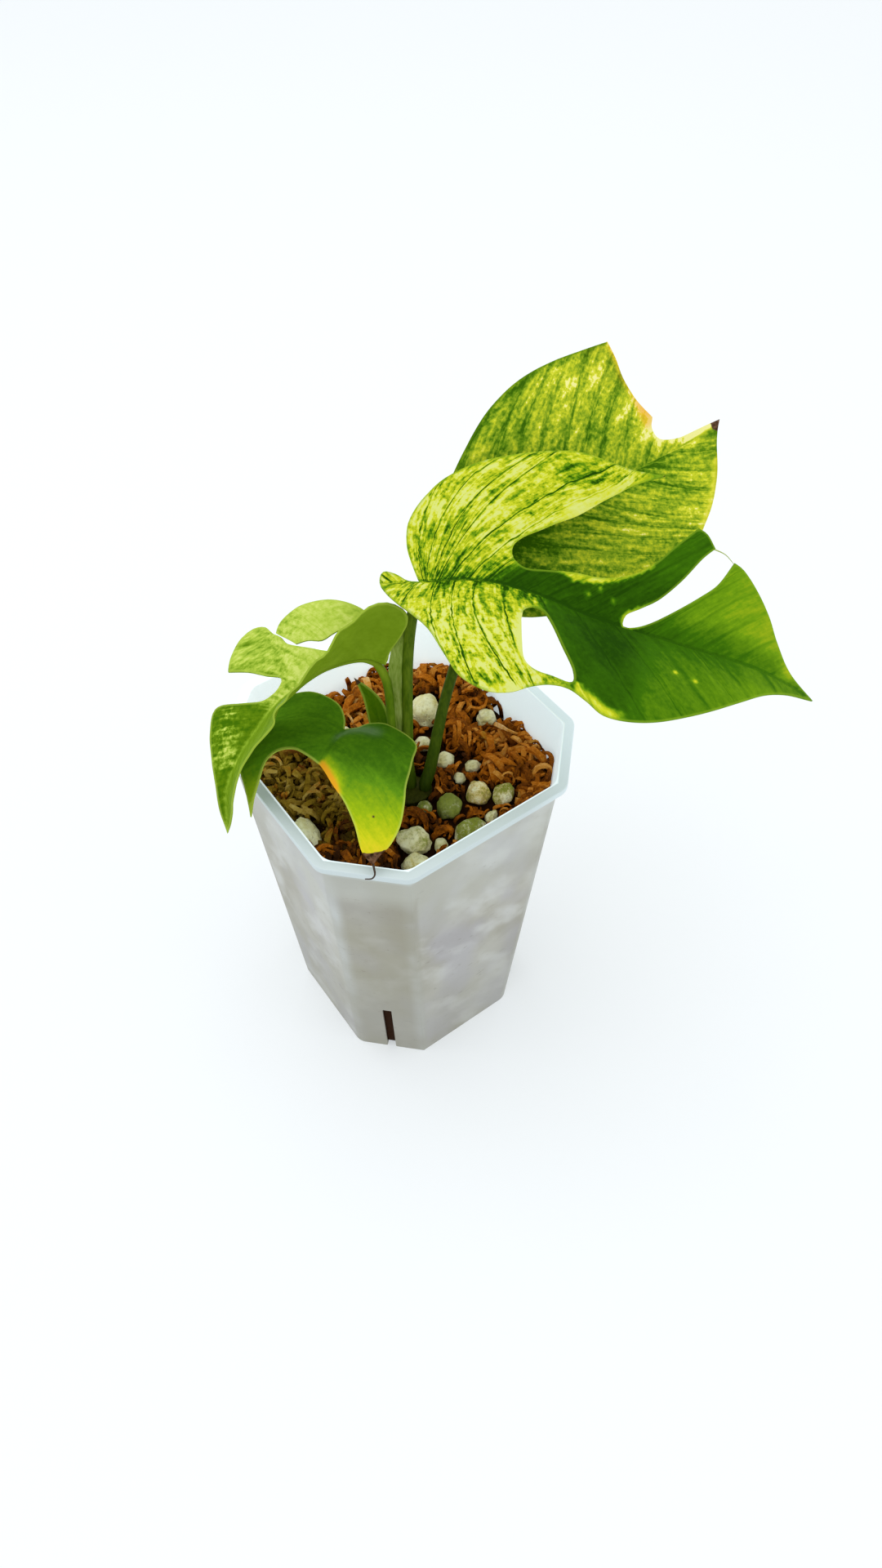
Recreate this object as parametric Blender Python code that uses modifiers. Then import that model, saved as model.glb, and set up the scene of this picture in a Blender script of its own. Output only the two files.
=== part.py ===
"""Potted rhaphidophora: a small plant with four lobed leaves in a frosted eight-cornered seedling pot.

The origin is the middle of the pot's foot, +Z is up and the pot's sides face X and Y. The plant is
drawn in its own axes, turned about Z against the pot: X to the side, Y to the back. A leaf is drawn
flat, as if pressed: u runs along the midrib from the petiole, v across it, positive on the left. The
flat outline is then carried onto the leaf's folded and arched surface.
"""
import math
import random

import bmesh
import bpy
from mathutils import Matrix, Vector, noise
from mathutils.geometry import delaunay_2d_cdt

MM = 0.001
GAP = 0.3

# Pot, in millimetres
POT_HEIGHT = 108.0
RIM_HALF = 37.5
RIM_CUT = 15.1
LIP_HEIGHT = 1.9
LIP_OVERHANG = 2.0
FOOT_HALF = 29.3
FOOT_CUT = 14.0
WALL = 0.9
FLOOR = 1.2
CUT_PER_OFFSET = 2.0 - math.sqrt(2.0)
SLIT_WIDTH = 2.5
SLIT_HEIGHT = 27.0
SLIT_REACH = 6.0
DRAIN_RADIUS = 3.0
DRAIN_CIRCLE = 16.0

# Plant in the pot
PLANT_TURN = math.radians(-32.2)
FILL_LEVEL = 91.9
FILL_SLOPE = (0.02, 0.0)
CROWN_CENTRE = (1.2, -5.6)
CROWN_HALF = (6.6, 4.6)
CROWN_TOP = 93.6
STEM_FOOT = 58.0

# Chips of the filling: curled ones stand up, flat ones only make ridges and hollows
FILL_CELL = 4.0
FILL_EDGE = 3.2
CHIPS = 42
CHIP_TRIES = 3000
CHIP_CLEARANCE = 4.0
CHIP_WIDTH = 2.6
CHIP_STEP = 4.3
CHIP_THICKNESS = 0.9
CHIP_ROWS = 5
CHIP_DEPTH = 2.2
CHIP_REACH = 0.8
RIDGES = 150
RIDGE_SPREAD = 42.0
STONE_LIFT = 0.34
STONE_FLATNESS = 0.86

# Blades and petioles
BLADE = 0.7
MARGIN_STEP = 3.4
BLADE_CELL = 6.0
RIB_STEP = 7.0
STUB = 1.6
FOLD_SOFTNESS = 2.0

# Stones: place across the plant's axes, radius, stretch along a direction in degrees
STONES = (
    (-23.7, -17.3, 3.2, 1.45, 120),
    (2.4, -22.2, 3.6, 1.10, 10),
    (2.6, -29.4, 3.0, 1.10, 170),
    (16.1, -19.9, 3.4, 1.25, 25),
    (19.2, -8.4, 3.1, 1.10, 90),
    (25.5, -9.4, 2.7, 1.10, 60),
    (11.6, -12.0, 3.2, 1.00, 0),
    (5.4, -12.2, 1.9, 1.00, 0),
    (8.9, -23.4, 1.7, 1.10, 100),
    (21.9, -15.4, 1.6, 1.30, 60),
    (11.6, 3.2, 2.4, 1.10, 60),
    (14.9, -2.6, 1.5, 1.00, 0),
    (18.6, 0.8, 1.8, 1.10, 20),
    (7.1, 20.2, 4.4, 1.15, 80),
    (6.2, 9.2, 2.2, 1.10, 10),
    (-14.5, 12.5, 3.1, 1.15, 150),
    (23.5, 16.5, 2.6, 1.10, 110),
)

random.seed(11)


def new_collection(name):
    group = bpy.data.collections.new(name)
    bpy.context.scene.collection.children.link(group)
    return group


def material(name, colour, roughness, alpha=1.0):
    mat = bpy.data.materials.new(name)
    mat.use_nodes = True
    shader = mat.node_tree.nodes["Principled BSDF"]
    shader.inputs["Base Color"].default_value = (*colour, 1.0)
    shader.inputs["Roughness"].default_value = roughness
    shader.inputs["Metallic"].default_value = 0.0
    shader.inputs["Alpha"].default_value = alpha
    return mat


def object_from(bm, name, group, mat=None):
    """A mesh object in metres from a bmesh drawn in millimetres."""
    bmesh.ops.recalc_face_normals(bm, faces=bm.faces[:])
    bmesh.ops.scale(bm, vec=(MM, MM, MM), verts=bm.verts[:])
    mesh = bpy.data.meshes.new(name)
    bm.to_mesh(mesh)
    bm.free()
    obj = bpy.data.objects.new(name, mesh)
    group.objects.link(obj)
    if mat:
        mesh.materials.append(mat)
    return obj


def as_cutter(obj):
    obj.hide_render = True
    obj.display_type = "WIRE"


def apply_modifiers(obj):
    """Puts the evaluated mesh in place of the drawn one."""
    bpy.context.view_layer.update()
    evaluated = obj.evaluated_get(bpy.context.evaluated_depsgraph_get())
    mesh = bpy.data.meshes.new_from_object(evaluated)
    obj.modifiers.clear()
    old = obj.data
    obj.data = mesh
    bpy.data.meshes.remove(old)


def boolean(obj, operation, group):
    """One Boolean of the object with all that the collection holds, which is then removed."""
    step = obj.modifiers.new(operation.title(), "BOOLEAN")
    step.operation = operation
    step.operand_type = "COLLECTION"
    step.collection = group
    step.solver = "EXACT"
    apply_modifiers(obj)
    for cutter in list(group.objects):
        bpy.data.objects.remove(cutter)
    bpy.data.collections.remove(group)


def keep_main_body(obj):
    """Drops loose scraps and the walls of sealed hollows, and leaves triangles."""
    bm = bmesh.new()
    bm.from_mesh(obj.data)
    bmesh.ops.remove_doubles(bm, verts=bm.verts[:], dist=0.02 * MM)
    bmesh.ops.dissolve_degenerate(bm, edges=bm.edges[:], dist=0.01 * MM)
    left = set(bm.verts)
    bodies = []
    while left:
        body = {left.pop()}
        front = list(body)
        while front:
            for edge in front.pop().link_edges:
                for vert in edge.verts:
                    if vert in left:
                        left.remove(vert)
                        body.add(vert)
                        front.append(vert)
        bodies.append(body)
    main = max(bodies, key=len)
    scraps = [vert for body in bodies if body is not main for vert in body]
    bmesh.ops.delete(bm, geom=scraps, context="VERTS")
    bmesh.ops.triangulate(bm, faces=bm.faces[:])
    bm.to_mesh(obj.data)
    bm.free()


def smooth_path(points, step):
    """Points about a step apart on a Catmull-Rom curve through the given ones."""
    points = [Vector(point) for point in points]
    before = 2.0 * points[0] - points[1]
    after = 2.0 * points[-1] - points[-2]
    ends = [before] + points + [after]
    path = []
    for a, b, c, d in zip(ends, ends[1:], ends[2:], ends[3:]):
        count = max(1, round((c - b).length / step))
        for k in range(count):
            t = k / count
            path.append(0.5 * (2.0 * b + (c - a) * t + (2.0 * a - 5.0 * b + 4.0 * c - d) * t * t
                               + (3.0 * b - 3.0 * c + d - a) * t ** 3))
    path.append(points[-1])
    return path


def between(stops, u):
    """Value at u, eased from stop to stop."""
    if u <= stops[0][0]:
        return stops[0][1]
    for (u0, a), (u1, b) in zip(stops, stops[1:]):
        if u <= u1:
            t = (u - u0) / (u1 - u0)
            return a + (b - a) * t * t * (3.0 - 2.0 * t)
    return stops[-1][1]


def inside(point, loop):
    """True where the point lies in the closed loop."""
    x, y = point
    hit = False
    for (x0, y0), (x1, y1) in zip(loop, loop[1:] + loop[:1]):
        if (y0 > y) != (y1 > y) and x < x0 + (y - y0) * (x1 - x0) / (y1 - y0):
            hit = not hit
    return hit


def distance_to(point, loop):
    """Distance from the point to the closed loop."""
    best = 1e9
    p = Vector(point)
    for a, b in zip(loop, loop[1:] + loop[:1]):
        a = Vector(a)
        d = Vector(b) - a
        t = max(0.0, min(1.0, (p - a).dot(d) / max(d.length_squared, 1e-9)))
        best = min(best, (p - a - d * t).length)
    return best


def flat_sheet(loops, cell):
    """Points and triangles that fill the first loop round the others, on a lattice with the given cell.

    The loops' points come first and keep their order.
    """
    outer = loops[0]
    xs = [x for x, _ in outer]
    ys = [y for _, y in outer]
    points = [Vector(p) for loop in loops for p in loop]
    edges = []
    first = 0
    for loop in loops:
        edges += [(first + k, first + (k + 1) % len(loop)) for k in range(len(loop))]
        first += len(loop)
    row_height = cell * math.sqrt(3.0) / 2.0
    for row in range(int((max(ys) - min(ys)) / row_height) + 2):
        for column in range(int((max(xs) - min(xs)) / cell) + 2):
            p = (min(xs) + (column + 0.5 * (row % 2)) * cell, min(ys) + row * row_height)
            if not inside(p, outer) or any(inside(p, hole) for hole in loops[1:]):
                continue
            if min(distance_to(p, loop) for loop in loops) > 0.45 * cell:
                points.append(Vector(p))
    _, _, faces, origins, *_ = delaunay_2d_cdt(points, edges, [], 0, 1e-5)
    kept = []
    for face in faces:
        face = [origins[k][0] for k in face]
        middle = sum((points[k] for k in face), Vector((0.0, 0.0))) / len(face)
        if inside(middle, outer) and not any(inside(middle, hole) for hole in loops[1:]):
            kept.append(face)
    return points, kept


# Pot


def corner_ring(half, cut, height):
    """The eight corners of a square with its corners cut, anticlockwise."""
    flat = half - cut
    ring = [(half, -flat), (half, flat), (flat, half), (-flat, half)]
    ring += [(-x, -y) for x, y in ring]
    return [Vector((x, y, height)) for x, y in ring]


def wall_ring(height, inset=0.0):
    """A ring of the tapered wall, moved in by the inset."""
    share = height / (POT_HEIGHT - LIP_HEIGHT)
    top_half = RIM_HALF - LIP_OVERHANG
    top_cut = RIM_CUT - CUT_PER_OFFSET * LIP_OVERHANG
    half = FOOT_HALF + (top_half - FOOT_HALF) * share - inset
    cut = FOOT_CUT + (top_cut - FOOT_CUT) * share - CUT_PER_OFFSET * inset
    return corner_ring(half, cut, height)


def skin(bm, rings):
    """Closed skin through rings of equal count, capped at both ends."""
    rows = [[bm.verts.new(point) for point in ring] for ring in rings]
    for low, high in zip(rows, rows[1:]):
        for k in range(len(low)):
            n = (k + 1) % len(low)
            bm.faces.new((low[k], low[n], high[n], high[k]))
    bm.faces.new(rows[0][::-1])
    bm.faces.new(rows[-1])


def block(group, size, centre, turn=0.0):
    bpy.ops.mesh.primitive_cube_add(size=1.0, location=[c * MM for c in centre], rotation=(0.0, 0.0, turn))
    cube = bpy.context.object
    cube.scale = [s * MM for s in size]
    move_to(cube, group)


def move_to(obj, group):
    for old in list(obj.users_collection):
        old.objects.unlink(obj)
    group.objects.link(obj)
    as_cutter(obj)


def make_pot(group):
    under_lip = POT_HEIGHT - LIP_HEIGHT
    rings = [
        wall_ring(0.0),
        wall_ring(under_lip),
        corner_ring(RIM_HALF, RIM_CUT, under_lip),
        corner_ring(RIM_HALF, RIM_CUT, POT_HEIGHT),
        wall_ring(POT_HEIGHT, WALL),
        wall_ring(FLOOR, WALL),
    ]
    bm = bmesh.new()
    skin(bm, rings)
    pot = object_from(bm, "pot", group, material("frosted_plastic", (0.80, 0.83, 0.88), 0.38, 0.85))
    cutters = new_collection("pot cutters")
    corner_reach = math.sqrt(2.0) * FOOT_HALF - FOOT_CUT / math.sqrt(2.0)
    for k in range(4):
        along = math.radians(45.0 + 90.0 * k)
        reach = corner_reach - SLIT_REACH / 2.0 + 1.5
        centre = (reach * math.cos(along), reach * math.sin(along), SLIT_HEIGHT / 2.0 - 1.0)
        block(cutters, (SLIT_REACH + 3.0, SLIT_WIDTH, SLIT_HEIGHT + 2.0), centre, along)
        side = math.radians(90.0 * k)
        bpy.ops.mesh.primitive_cylinder_add(
            vertices=16, radius=DRAIN_RADIUS * MM, depth=4.0 * FLOOR * MM,
            location=(DRAIN_CIRCLE * MM * math.cos(side), DRAIN_CIRCLE * MM * math.sin(side), 0.0))
        move_to(bpy.context.object, cutters)
    boolean(pot, "DIFFERENCE", cutters)
    keep_main_body(pot)
    return pot


# Filling, with what stands in it


def turned(x, y):
    """A place in the plant's axes, seen in the pot's axes."""
    c, s = math.cos(PLANT_TURN), math.sin(PLANT_TURN)
    return c * x - s * y, s * x + c * y


def unturned(x, y):
    c, s = math.cos(PLANT_TURN), math.sin(PLANT_TURN)
    return c * x + s * y, -s * x + c * y


def fill_level(x, y):
    """Height of the filling without its chips, at a place in the plant's axes."""
    lump = noise.noise(Vector((x / 11.0, y / 11.0, 3.0)))
    return FILL_LEVEL + FILL_SLOPE[0] * x + FILL_SLOPE[1] * y + 1.2 * lump


def clear_of_plant(x, y, margin):
    """True where nothing stands or lies in the filling."""
    across = (x - CROWN_CENTRE[0]) / (CROWN_HALF[0] + margin)
    deep = (y - CROWN_CENTRE[1]) / (CROWN_HALF[1] + margin)
    if across * across + deep * deep < 1.0:
        return False
    for sx, sy, radius, stretch, _ in STONES:
        if math.hypot(x - sx, y - sy) < radius * stretch + margin:
            return False
    return True


def chip_band(group, x, y, heading, span, rise, twist):
    """One curled strip of coconut fibre: an arch whose two ends are sunk in the filling."""
    bm = bmesh.new()
    rows = []
    for k in range(CHIP_ROWS + 1):
        t = k / CHIP_ROWS
        bow = math.sin(math.pi * t)
        along = (t - 0.5) * span
        sway = twist * math.sin(2.0 * math.pi * t)
        height = rise * bow - CHIP_DEPTH * (1.0 - bow)
        half = 0.5 * CHIP_WIDTH * (0.75 + 0.25 * bow)
        tilt = 0.5 * twist * (t - 0.5)
        rows.append([bm.verts.new((along, sway + s * half, height + s * tilt)) for s in (-1.0, 1.0)])
    for a, b in zip(rows, rows[1:]):
        bm.faces.new((a[0], a[1], b[1], b[0]))
    bmesh.ops.triangulate(bm, faces=bm.faces[:])
    bmesh.ops.solidify(bm, geom=bm.faces[:], thickness=CHIP_THICKNESS)
    px, py = turned(x, y)
    spin = Matrix.Rotation(heading + PLANT_TURN, 4, "Z")
    place = Matrix.Translation((px, py, fill_level(x, y)))
    bmesh.ops.transform(bm, matrix=place @ spin, verts=bm.verts[:])
    as_cutter(object_from(bm, "chip", group))


def chip_relief(x, y, ridges):
    """Height of the chips that lie flat, at a place in the plant's axes."""
    best = 0.0
    for cx, cy, radius, width, lift in ridges:
        off = abs(math.hypot(x - cx, y - cy) - radius) / width
        if off < 1.0:
            best = max(best, lift * (1.0 - off * off))
    return best


def make_stone_mesh(group, name, spec, seed, grow, mat=None):
    """A worn lump: a ball with a few flattened sides, stretched one way and half sunk."""
    x, y, radius, stretch, heading = spec
    bm = bmesh.new()
    bmesh.ops.create_icosphere(bm, subdivisions=2, radius=1.0)
    for vert in bm.verts:
        direction = vert.co.normalized()
        worn = 1.0 + 0.16 * noise.noise(direction * 1.4 + Vector((seed * 3.1, 0.0, 0.0)))
        vert.co = direction * (radius * worn + grow)
    bmesh.ops.scale(bm, vec=(stretch, 1.0 / math.sqrt(stretch), STONE_FLATNESS), verts=bm.verts[:])
    px, py = turned(x, y)
    spin = Matrix.Rotation(math.radians(heading) + PLANT_TURN, 4, "Z")
    place = Matrix.Translation((px, py, fill_level(x, y) + STONE_LIFT * radius))
    bmesh.ops.transform(bm, matrix=place @ spin, verts=bm.verts[:])
    return object_from(bm, name, group, mat)


def oval_ring(centre, half, height, count=16, grow=0.0):
    """An oval ring about a centre in the plant's axes, in the pot's axes."""
    ring = []
    for k in range(count):
        a = 2.0 * math.pi * k / count
        x, y = turned(centre[0] + (half[0] + grow) * math.cos(a), centre[1] + (half[1] + grow) * math.sin(a))
        ring.append(Vector((x, y, height)))
    return ring


def stem_rings(grow=0.0, top=CROWN_TOP):
    """The short stem: swollen at two leaf scars, drawn in to a rounded foot."""
    sizes = ((STEM_FOOT, 0.42), (STEM_FOOT + 3.0, 0.62), (70.0, 0.66), (72.0, 0.74), (74.0, 0.68),
             (80.0, 0.72), (82.0, 0.82), (84.0, 0.76), (90.5, 0.98), (top, 1.0))
    rings = []
    for height, share in sizes:
        half = (CROWN_HALF[0] * share, CROWN_HALF[1] * share)
        low = height - grow if height == STEM_FOOT else height
        rings.append(oval_ring(CROWN_CENTRE, half, low, grow=grow))
    return rings


def make_stem(group):
    bm = bmesh.new()
    skin(bm, stem_rings())
    return object_from(bm, "stem", group, material("stem_green", (0.10, 0.16, 0.04), 0.55))


def filling_skin():
    """The filling as one closed skin: tapered sides, flat foot, and a top of low chips and hollows."""
    ring = wall_ring(FILL_LEVEL, WALL + GAP)
    loop = []
    corners = []
    for a, b in zip(ring, ring[1:] + ring[:1]):
        corners.append(len(loop))
        count = max(2, round((b - a).length / FILL_EDGE))
        loop += [tuple((a + (b - a) * (k / count)).xy) for k in range(count)]
    ridges = []
    for _ in range(RIDGES):
        ridges.append((random.uniform(-RIDGE_SPREAD, RIDGE_SPREAD), random.uniform(-RIDGE_SPREAD, RIDGE_SPREAD),
                       random.uniform(2.5, 7.0), random.uniform(1.3, 1.9), random.uniform(0.8, 2.2)))
    slope = (RIM_HALF - LIP_OVERHANG - FOOT_HALF) / (POT_HEIGHT - LIP_HEIGHT)
    points, faces = flat_sheet([loop], FILL_CELL)
    bm = bmesh.new()
    top = []
    for x, y in points:
        px, py = unturned(x, y)
        height = fill_level(px, py) + chip_relief(px, py, ridges)
        taper = 1.0 + (height - FILL_LEVEL) * slope / ring[0].x
        top.append(bm.verts.new((x * taper, y * taper, height)))
    for face in faces:
        bm.faces.new([top[k] for k in face])
    low = [bm.verts.new(point) for point in wall_ring(FLOOR + GAP, WALL + GAP)]
    for k in range(8):
        end = (corners + [len(loop)])[k + 1]
        stretch = [top[i % len(loop)] for i in range(corners[k], end + 1)]
        bm.faces.new([low[k], low[(k + 1) % 8]] + stretch[::-1])
    bm.faces.new(low[::-1])
    bmesh.ops.triangulate(bm, faces=[f for f in bm.faces if len(f.verts) > 3])
    return bm, loop


def make_chips(loop):
    """Curled chips at random over the filling, clear of its wall, the stones and the stem."""
    bands = new_collection("chip bands")
    middle = [(CHIP_REACH * x, CHIP_REACH * y) for x, y in loop]
    placed = []
    for _ in range(CHIP_TRIES):
        x, y = random.uniform(-RIM_HALF, RIM_HALF), random.uniform(-RIM_HALF, RIM_HALF)
        if not clear_of_plant(x, y, CHIP_CLEARANCE) or not inside(turned(x, y), middle):
            continue
        if len(placed) == CHIPS or any(math.hypot(x - px, y - py) < CHIP_STEP for px, py in placed):
            continue
        placed.append((x, y))
        chip_band(bands, x, y, random.uniform(0.0, math.pi), random.uniform(6.5, 9.5),
                  random.uniform(1.6, 3.6), random.uniform(-1.2, 1.2))
    return bands


def make_filling(group):
    bm, loop = filling_skin()
    filling = object_from(bm, "filling", group, material("coconut_fibre", (0.24, 0.10, 0.03), 0.9))
    boolean(filling, "UNION", make_chips(loop))
    keep_main_body(filling)

    pockets = new_collection("pockets")
    for k, spec in enumerate(STONES):
        as_cutter(make_stone_mesh(pockets, "pocket", spec, k, GAP + 0.05))
    bm = bmesh.new()
    skin(bm, stem_rings(GAP, CROWN_TOP + 12.0))
    as_cutter(object_from(bm, "stem hole", pockets))
    boolean(filling, "DIFFERENCE", pockets)
    keep_main_body(filling)
    return filling


# Leaves


class Leaf:
    """The surface of one leaf and the flat outline that it carries.

    midrib: points of the midrib in the plant's axes; left, right: stops (u, degrees) of how far each
    half is folded up; curl: how fast each half bends down away from the midrib; sag: stops (u, mm) by
    which the outer part of the right half hangs lower; outline: stretches of the margin, each
    smooth and meeting the next at a corner; holes: closed smooth loops; rib: how much of the midrib
    stands out below the blade; wing: two sides of a thin sheath along the petiole, one inside it.
    """

    def __init__(self, name, midrib, left, right, curl, outline, petiole, holes=(), sag=((0, 0), (1, 0)),
                 roll=0.0, rib=0.7, thick=1.3, colour=(0.20, 0.34, 0.03), wing=()):
        self.name = name
        self.left, self.right, self.curl, self.sag = left, right, curl, sag
        self.outline, self.holes, self.petiole, self.wing = outline, holes, petiole, wing
        self.roll, self.rib, self.thick, self.colour = math.radians(roll), rib, thick, colour
        self.path = smooth_path(midrib, 1.0)
        self.runs = [0.0]
        for a, b in zip(self.path, self.path[1:]):
            self.runs.append(self.runs[-1] + (b - a).length)
        self.length = self.runs[-1]

    def spine(self, u):
        """Point and direction of the midrib at u, straight on past both ends."""
        path, runs = self.path, self.runs
        if u <= 0.0:
            along = (path[2] - path[0]).normalized()
            return path[0] + along * u, along
        if u >= self.length:
            along = (path[-1] - path[-3]).normalized()
            return path[-1] + along * (u - self.length), along
        k = max(i for i, run in enumerate(runs[:-1]) if run <= u)
        t = (u - runs[k]) / (runs[k + 1] - runs[k])
        low = path[max(k - 1, 0)]
        high = path[min(k + 2, len(path) - 1)]
        return path[k].lerp(path[k + 1], t), (high - low).normalized()

    def frame(self, u):
        """Point, left direction and upper normal at u on the midrib."""
        point, along = self.spine(u)
        level = Vector((0.0, 0.0, 1.0)).cross(along).normalized()
        upper = along.cross(level)
        c, s = math.cos(self.roll), math.sin(self.roll)
        return point, level * c + upper * s, upper * c - level * s

    def place(self, u, v):
        """Where the flat point (u, v) lies on the leaf."""
        point, side, upper = self.frame(u)
        fold = math.radians(between(self.left if v >= 0.0 else self.right, u))
        width = abs(v)
        lift = math.sin(fold) * (math.hypot(width, FOLD_SOFTNESS) - FOLD_SOFTNESS)
        lift -= (self.curl[0] if v >= 0.0 else self.curl[1]) * width * width
        if v < 0.0:
            lift -= between(self.sag, u) * min(1.0, width / 15.0)
        return point + side * (math.copysign(width, v) * math.cos(fold)) + upper * lift


def leaf_loops(leaf, step):
    """The margin and the holes as closed loops with a point about every step."""
    margin = []
    for stretch in leaf.outline:
        margin += [(p.x, p.y) for p in smooth_path(stretch, step)[:-1]]
    loops = [margin]
    for hole in leaf.holes:
        ring = smooth_path(hole + hole[:1], step)[:-1]
        loops.append([(p.x, p.y) for p in ring])
    return loops


def make_blade(leaf, group):
    """The blade: the outline filled on a lattice, carried onto the leaf and given its thickness."""
    verts, faces = flat_sheet(leaf_loops(leaf, MARGIN_STEP), BLADE_CELL)
    bm = bmesh.new()
    points = [bm.verts.new(leaf.place(x, y)) for x, y in verts]
    for face in faces:
        bm.faces.new([points[k] for k in face])
    bmesh.ops.recalc_face_normals(bm, faces=bm.faces[:])
    bmesh.ops.scale(bm, vec=(MM, MM, MM), verts=bm.verts[:])
    mesh = bpy.data.meshes.new(leaf.name)
    bm.to_mesh(mesh)
    bm.free()
    blade = bpy.data.objects.new(leaf.name, mesh)
    group.objects.link(blade)
    blade.data.materials.append(material(leaf.name + "_green", leaf.colour, 0.42))
    wall = blade.modifiers.new("Thickness", "SOLIDIFY")
    wall.thickness = BLADE * MM
    wall.offset = 0.0
    wall.use_even_offset = True
    apply_modifiers(blade)
    return blade


def tube(name, points, radii, group, sides=2):
    """A closed tube through the points, as a mesh."""
    curve = bpy.data.curves.new(name, "CURVE")
    curve.dimensions = "3D"
    curve.bevel_depth = MM
    curve.bevel_resolution = sides
    curve.use_fill_caps = True
    spline = curve.splines.new("POLY")
    spline.points.add(len(points) - 1)
    for knot, point, radius in zip(spline.points, points, radii):
        knot.co = (*(Vector(point) * MM), 1.0)
        knot.radius = radius
    drawn = bpy.data.objects.new(name, curve)
    group.objects.link(drawn)
    bpy.context.view_layer.update()
    evaluated = drawn.evaluated_get(bpy.context.evaluated_depsgraph_get())
    mesh = bpy.data.meshes.new_from_object(evaluated)
    bm = bmesh.new()
    bm.from_mesh(mesh)
    bmesh.ops.remove_doubles(bm, verts=bm.verts[:], dist=0.02 * MM)
    bmesh.ops.recalc_face_normals(bm, faces=bm.faces[:])
    bm.to_mesh(mesh)
    bm.free()
    solid = bpy.data.objects.new(name, mesh)
    solid.matrix_world = drawn.matrix_world
    bpy.data.objects.remove(drawn)
    group.objects.link(solid)
    return solid


def make_wing(leaf, group):
    """The thin sheath along one side of the petiole, free at its tip."""
    bm = bmesh.new()
    rows = [[bm.verts.new(point) for point in smooth_path(side, 6.0)] for side in leaf.wing]
    for k in range(len(rows[0]) - 1):
        bm.faces.new((rows[0][k], rows[0][k + 1], rows[1][k + 1], rows[1][k]))
    bmesh.ops.triangulate(bm, faces=bm.faces[:])
    bmesh.ops.solidify(bm, geom=bm.faces[:], thickness=BLADE)
    return object_from(bm, "wing", group)


def make_leaf(leaf, group, turn):
    """Blade, petiole and the raised rib below the blade, fused as they grew."""
    blade = make_blade(leaf, group)
    reach = leaf.length * leaf.rib
    rib = []
    count = max(4, round(reach / RIB_STEP))
    for k in range(1, count + 1):
        u = reach * k / count
        point, _, upper = leaf.frame(u)
        rib.append(point - upper * (0.75 * leaf.thick * (1.0 - 0.6 * u / reach)))
    first, _, first_upper = leaf.frame(0.0)
    top = first - first_upper * (0.6 * leaf.thick)
    foot = Vector(leaf.petiole[0])
    knots = [foot + Vector((0.0, 0.0, STUB))] + list(leaf.petiole[1:]) + [top, rib[0]]
    stalk = [foot] + smooth_path(knots, 6.0)[:-1]
    points = stalk + rib
    radii = []
    for k in range(len(stalk)):
        t = k / (len(stalk) - 1)
        radii.append(leaf.thick * (1.22 - 0.22 * min(1.0, 2.5 * t)))
    for k in range(len(rib)):
        radii.append(leaf.thick * (0.92 - 0.62 * (k + 1) / len(rib)))
    parts = new_collection(leaf.name + " parts")
    as_cutter(tube("petiole", points, radii, parts))
    if leaf.wing:
        as_cutter(make_wing(leaf, parts))
    boolean(blade, "UNION", parts)
    keep_main_body(blade)
    blade.parent = turn
    return blade


FRONT_LEAF = Leaf(
    "leaf_front",
    midrib=((6, 5, 151.5), (19, 1.8, 154), (31, -1.2, 152), (43, -4.2, 147.5), (60, -8.4, 143),
            (76, -12.5, 139), (85, -14.7, 135), (92.5, -16.5, 130)),
    roll=10,
    left=((-20, 18), (0, 22), (50, 22), (95, 10)),
    right=((-20, 8), (0, 20), (50, 16), (95, 8)),
    curl=(0.002, 0.006),
    outline=(
        ((0, 0), (-1.5, 3.5), (-3, 7.5), (-3.5, 11.5), (-3, 15), (-0.5, 19.5), (3.5, 23.5), (9, 26.8),
         (15, 30), (20.5, 33), (26, 35.3), (32, 36.2), (39, 36.7), (46, 37.5)),
        ((46, 37.5), (40.5, 33), (34, 27), (29, 20), (24.5, 15.3), (20.5, 11.6), (19, 9), (19.6, 6.4),
         (22.5, 5), (27, 6), (33, 8), (40, 9.5), (46, 12.5), (50, 16.5), (53.5, 22), (57.5, 28)),
        ((57.5, 28), (60, 27.2), (62.5, 24.5)),
        ((62.5, 24.5), (60, 20.8), (56.5, 14), (53, 8.7), (49.5, 5.4), (46.6, 2.8), (46.6, 0), (49, 0.6),
         (52, 2.5), (56, 6.2), (61.5, 12), (65, 16.5), (67.5, 22.8)),
        ((67.5, 22.8), (70, 21.8), (73.5, 18.5), (77.5, 13.5), (81, 8), (86, 2.8), (93.5, 0)),
        ((93.5, 0), (86, -3), (80, -6.5), (74, -11.5), (68.5, -16), (63, -20), (56.5, -24), (50.5, -26.2),
         (45, -26.6), (41, -24.6), (37, -23.2), (33, -24.2), (29, -26.8), (25, -30), (20, -31.5),
         (14, -29.5), (9.7, -23.8), (5.5, -17), (1.5, -12.5), (-3, -8), (-7, -3.2), (-9, 0.3), (-8.3, 2.8),
         (-5.5, 2.2), (-2.5, 0.4), (0, 0)),
    ),
    holes=([(24, -10), (25, -16), (26.3, -20.8), (29, -22.4), (33, -22), (37.2, -21.4), (37, -18),
            (33.6, -12.6), (30.5, -7.5), (28.3, -4.9), (26, -4.7), (24.2, -6.6)],),
    petiole=((2.3, -4.9, CROWN_TOP + GAP), (1.9, -4.2, 103), (2.3, -2.6, 116), (2.9, 0.3, 132), (4.3, 3, 143)),
    rib=0.72,
    wing=(
        ((1.9, -4.1, 102), (2.2, -3, 112), (2.5, -1.7, 122), (2.9, -0.1, 131), (3.7, 1.6, 138)),
        ((0.8, -3.2, 102), (-0.4, -1.2, 110.5), (-0.5, 0, 119.5), (0.6, 0.8, 129), (2.1, 1, 140.7)),
    ),
)

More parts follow.
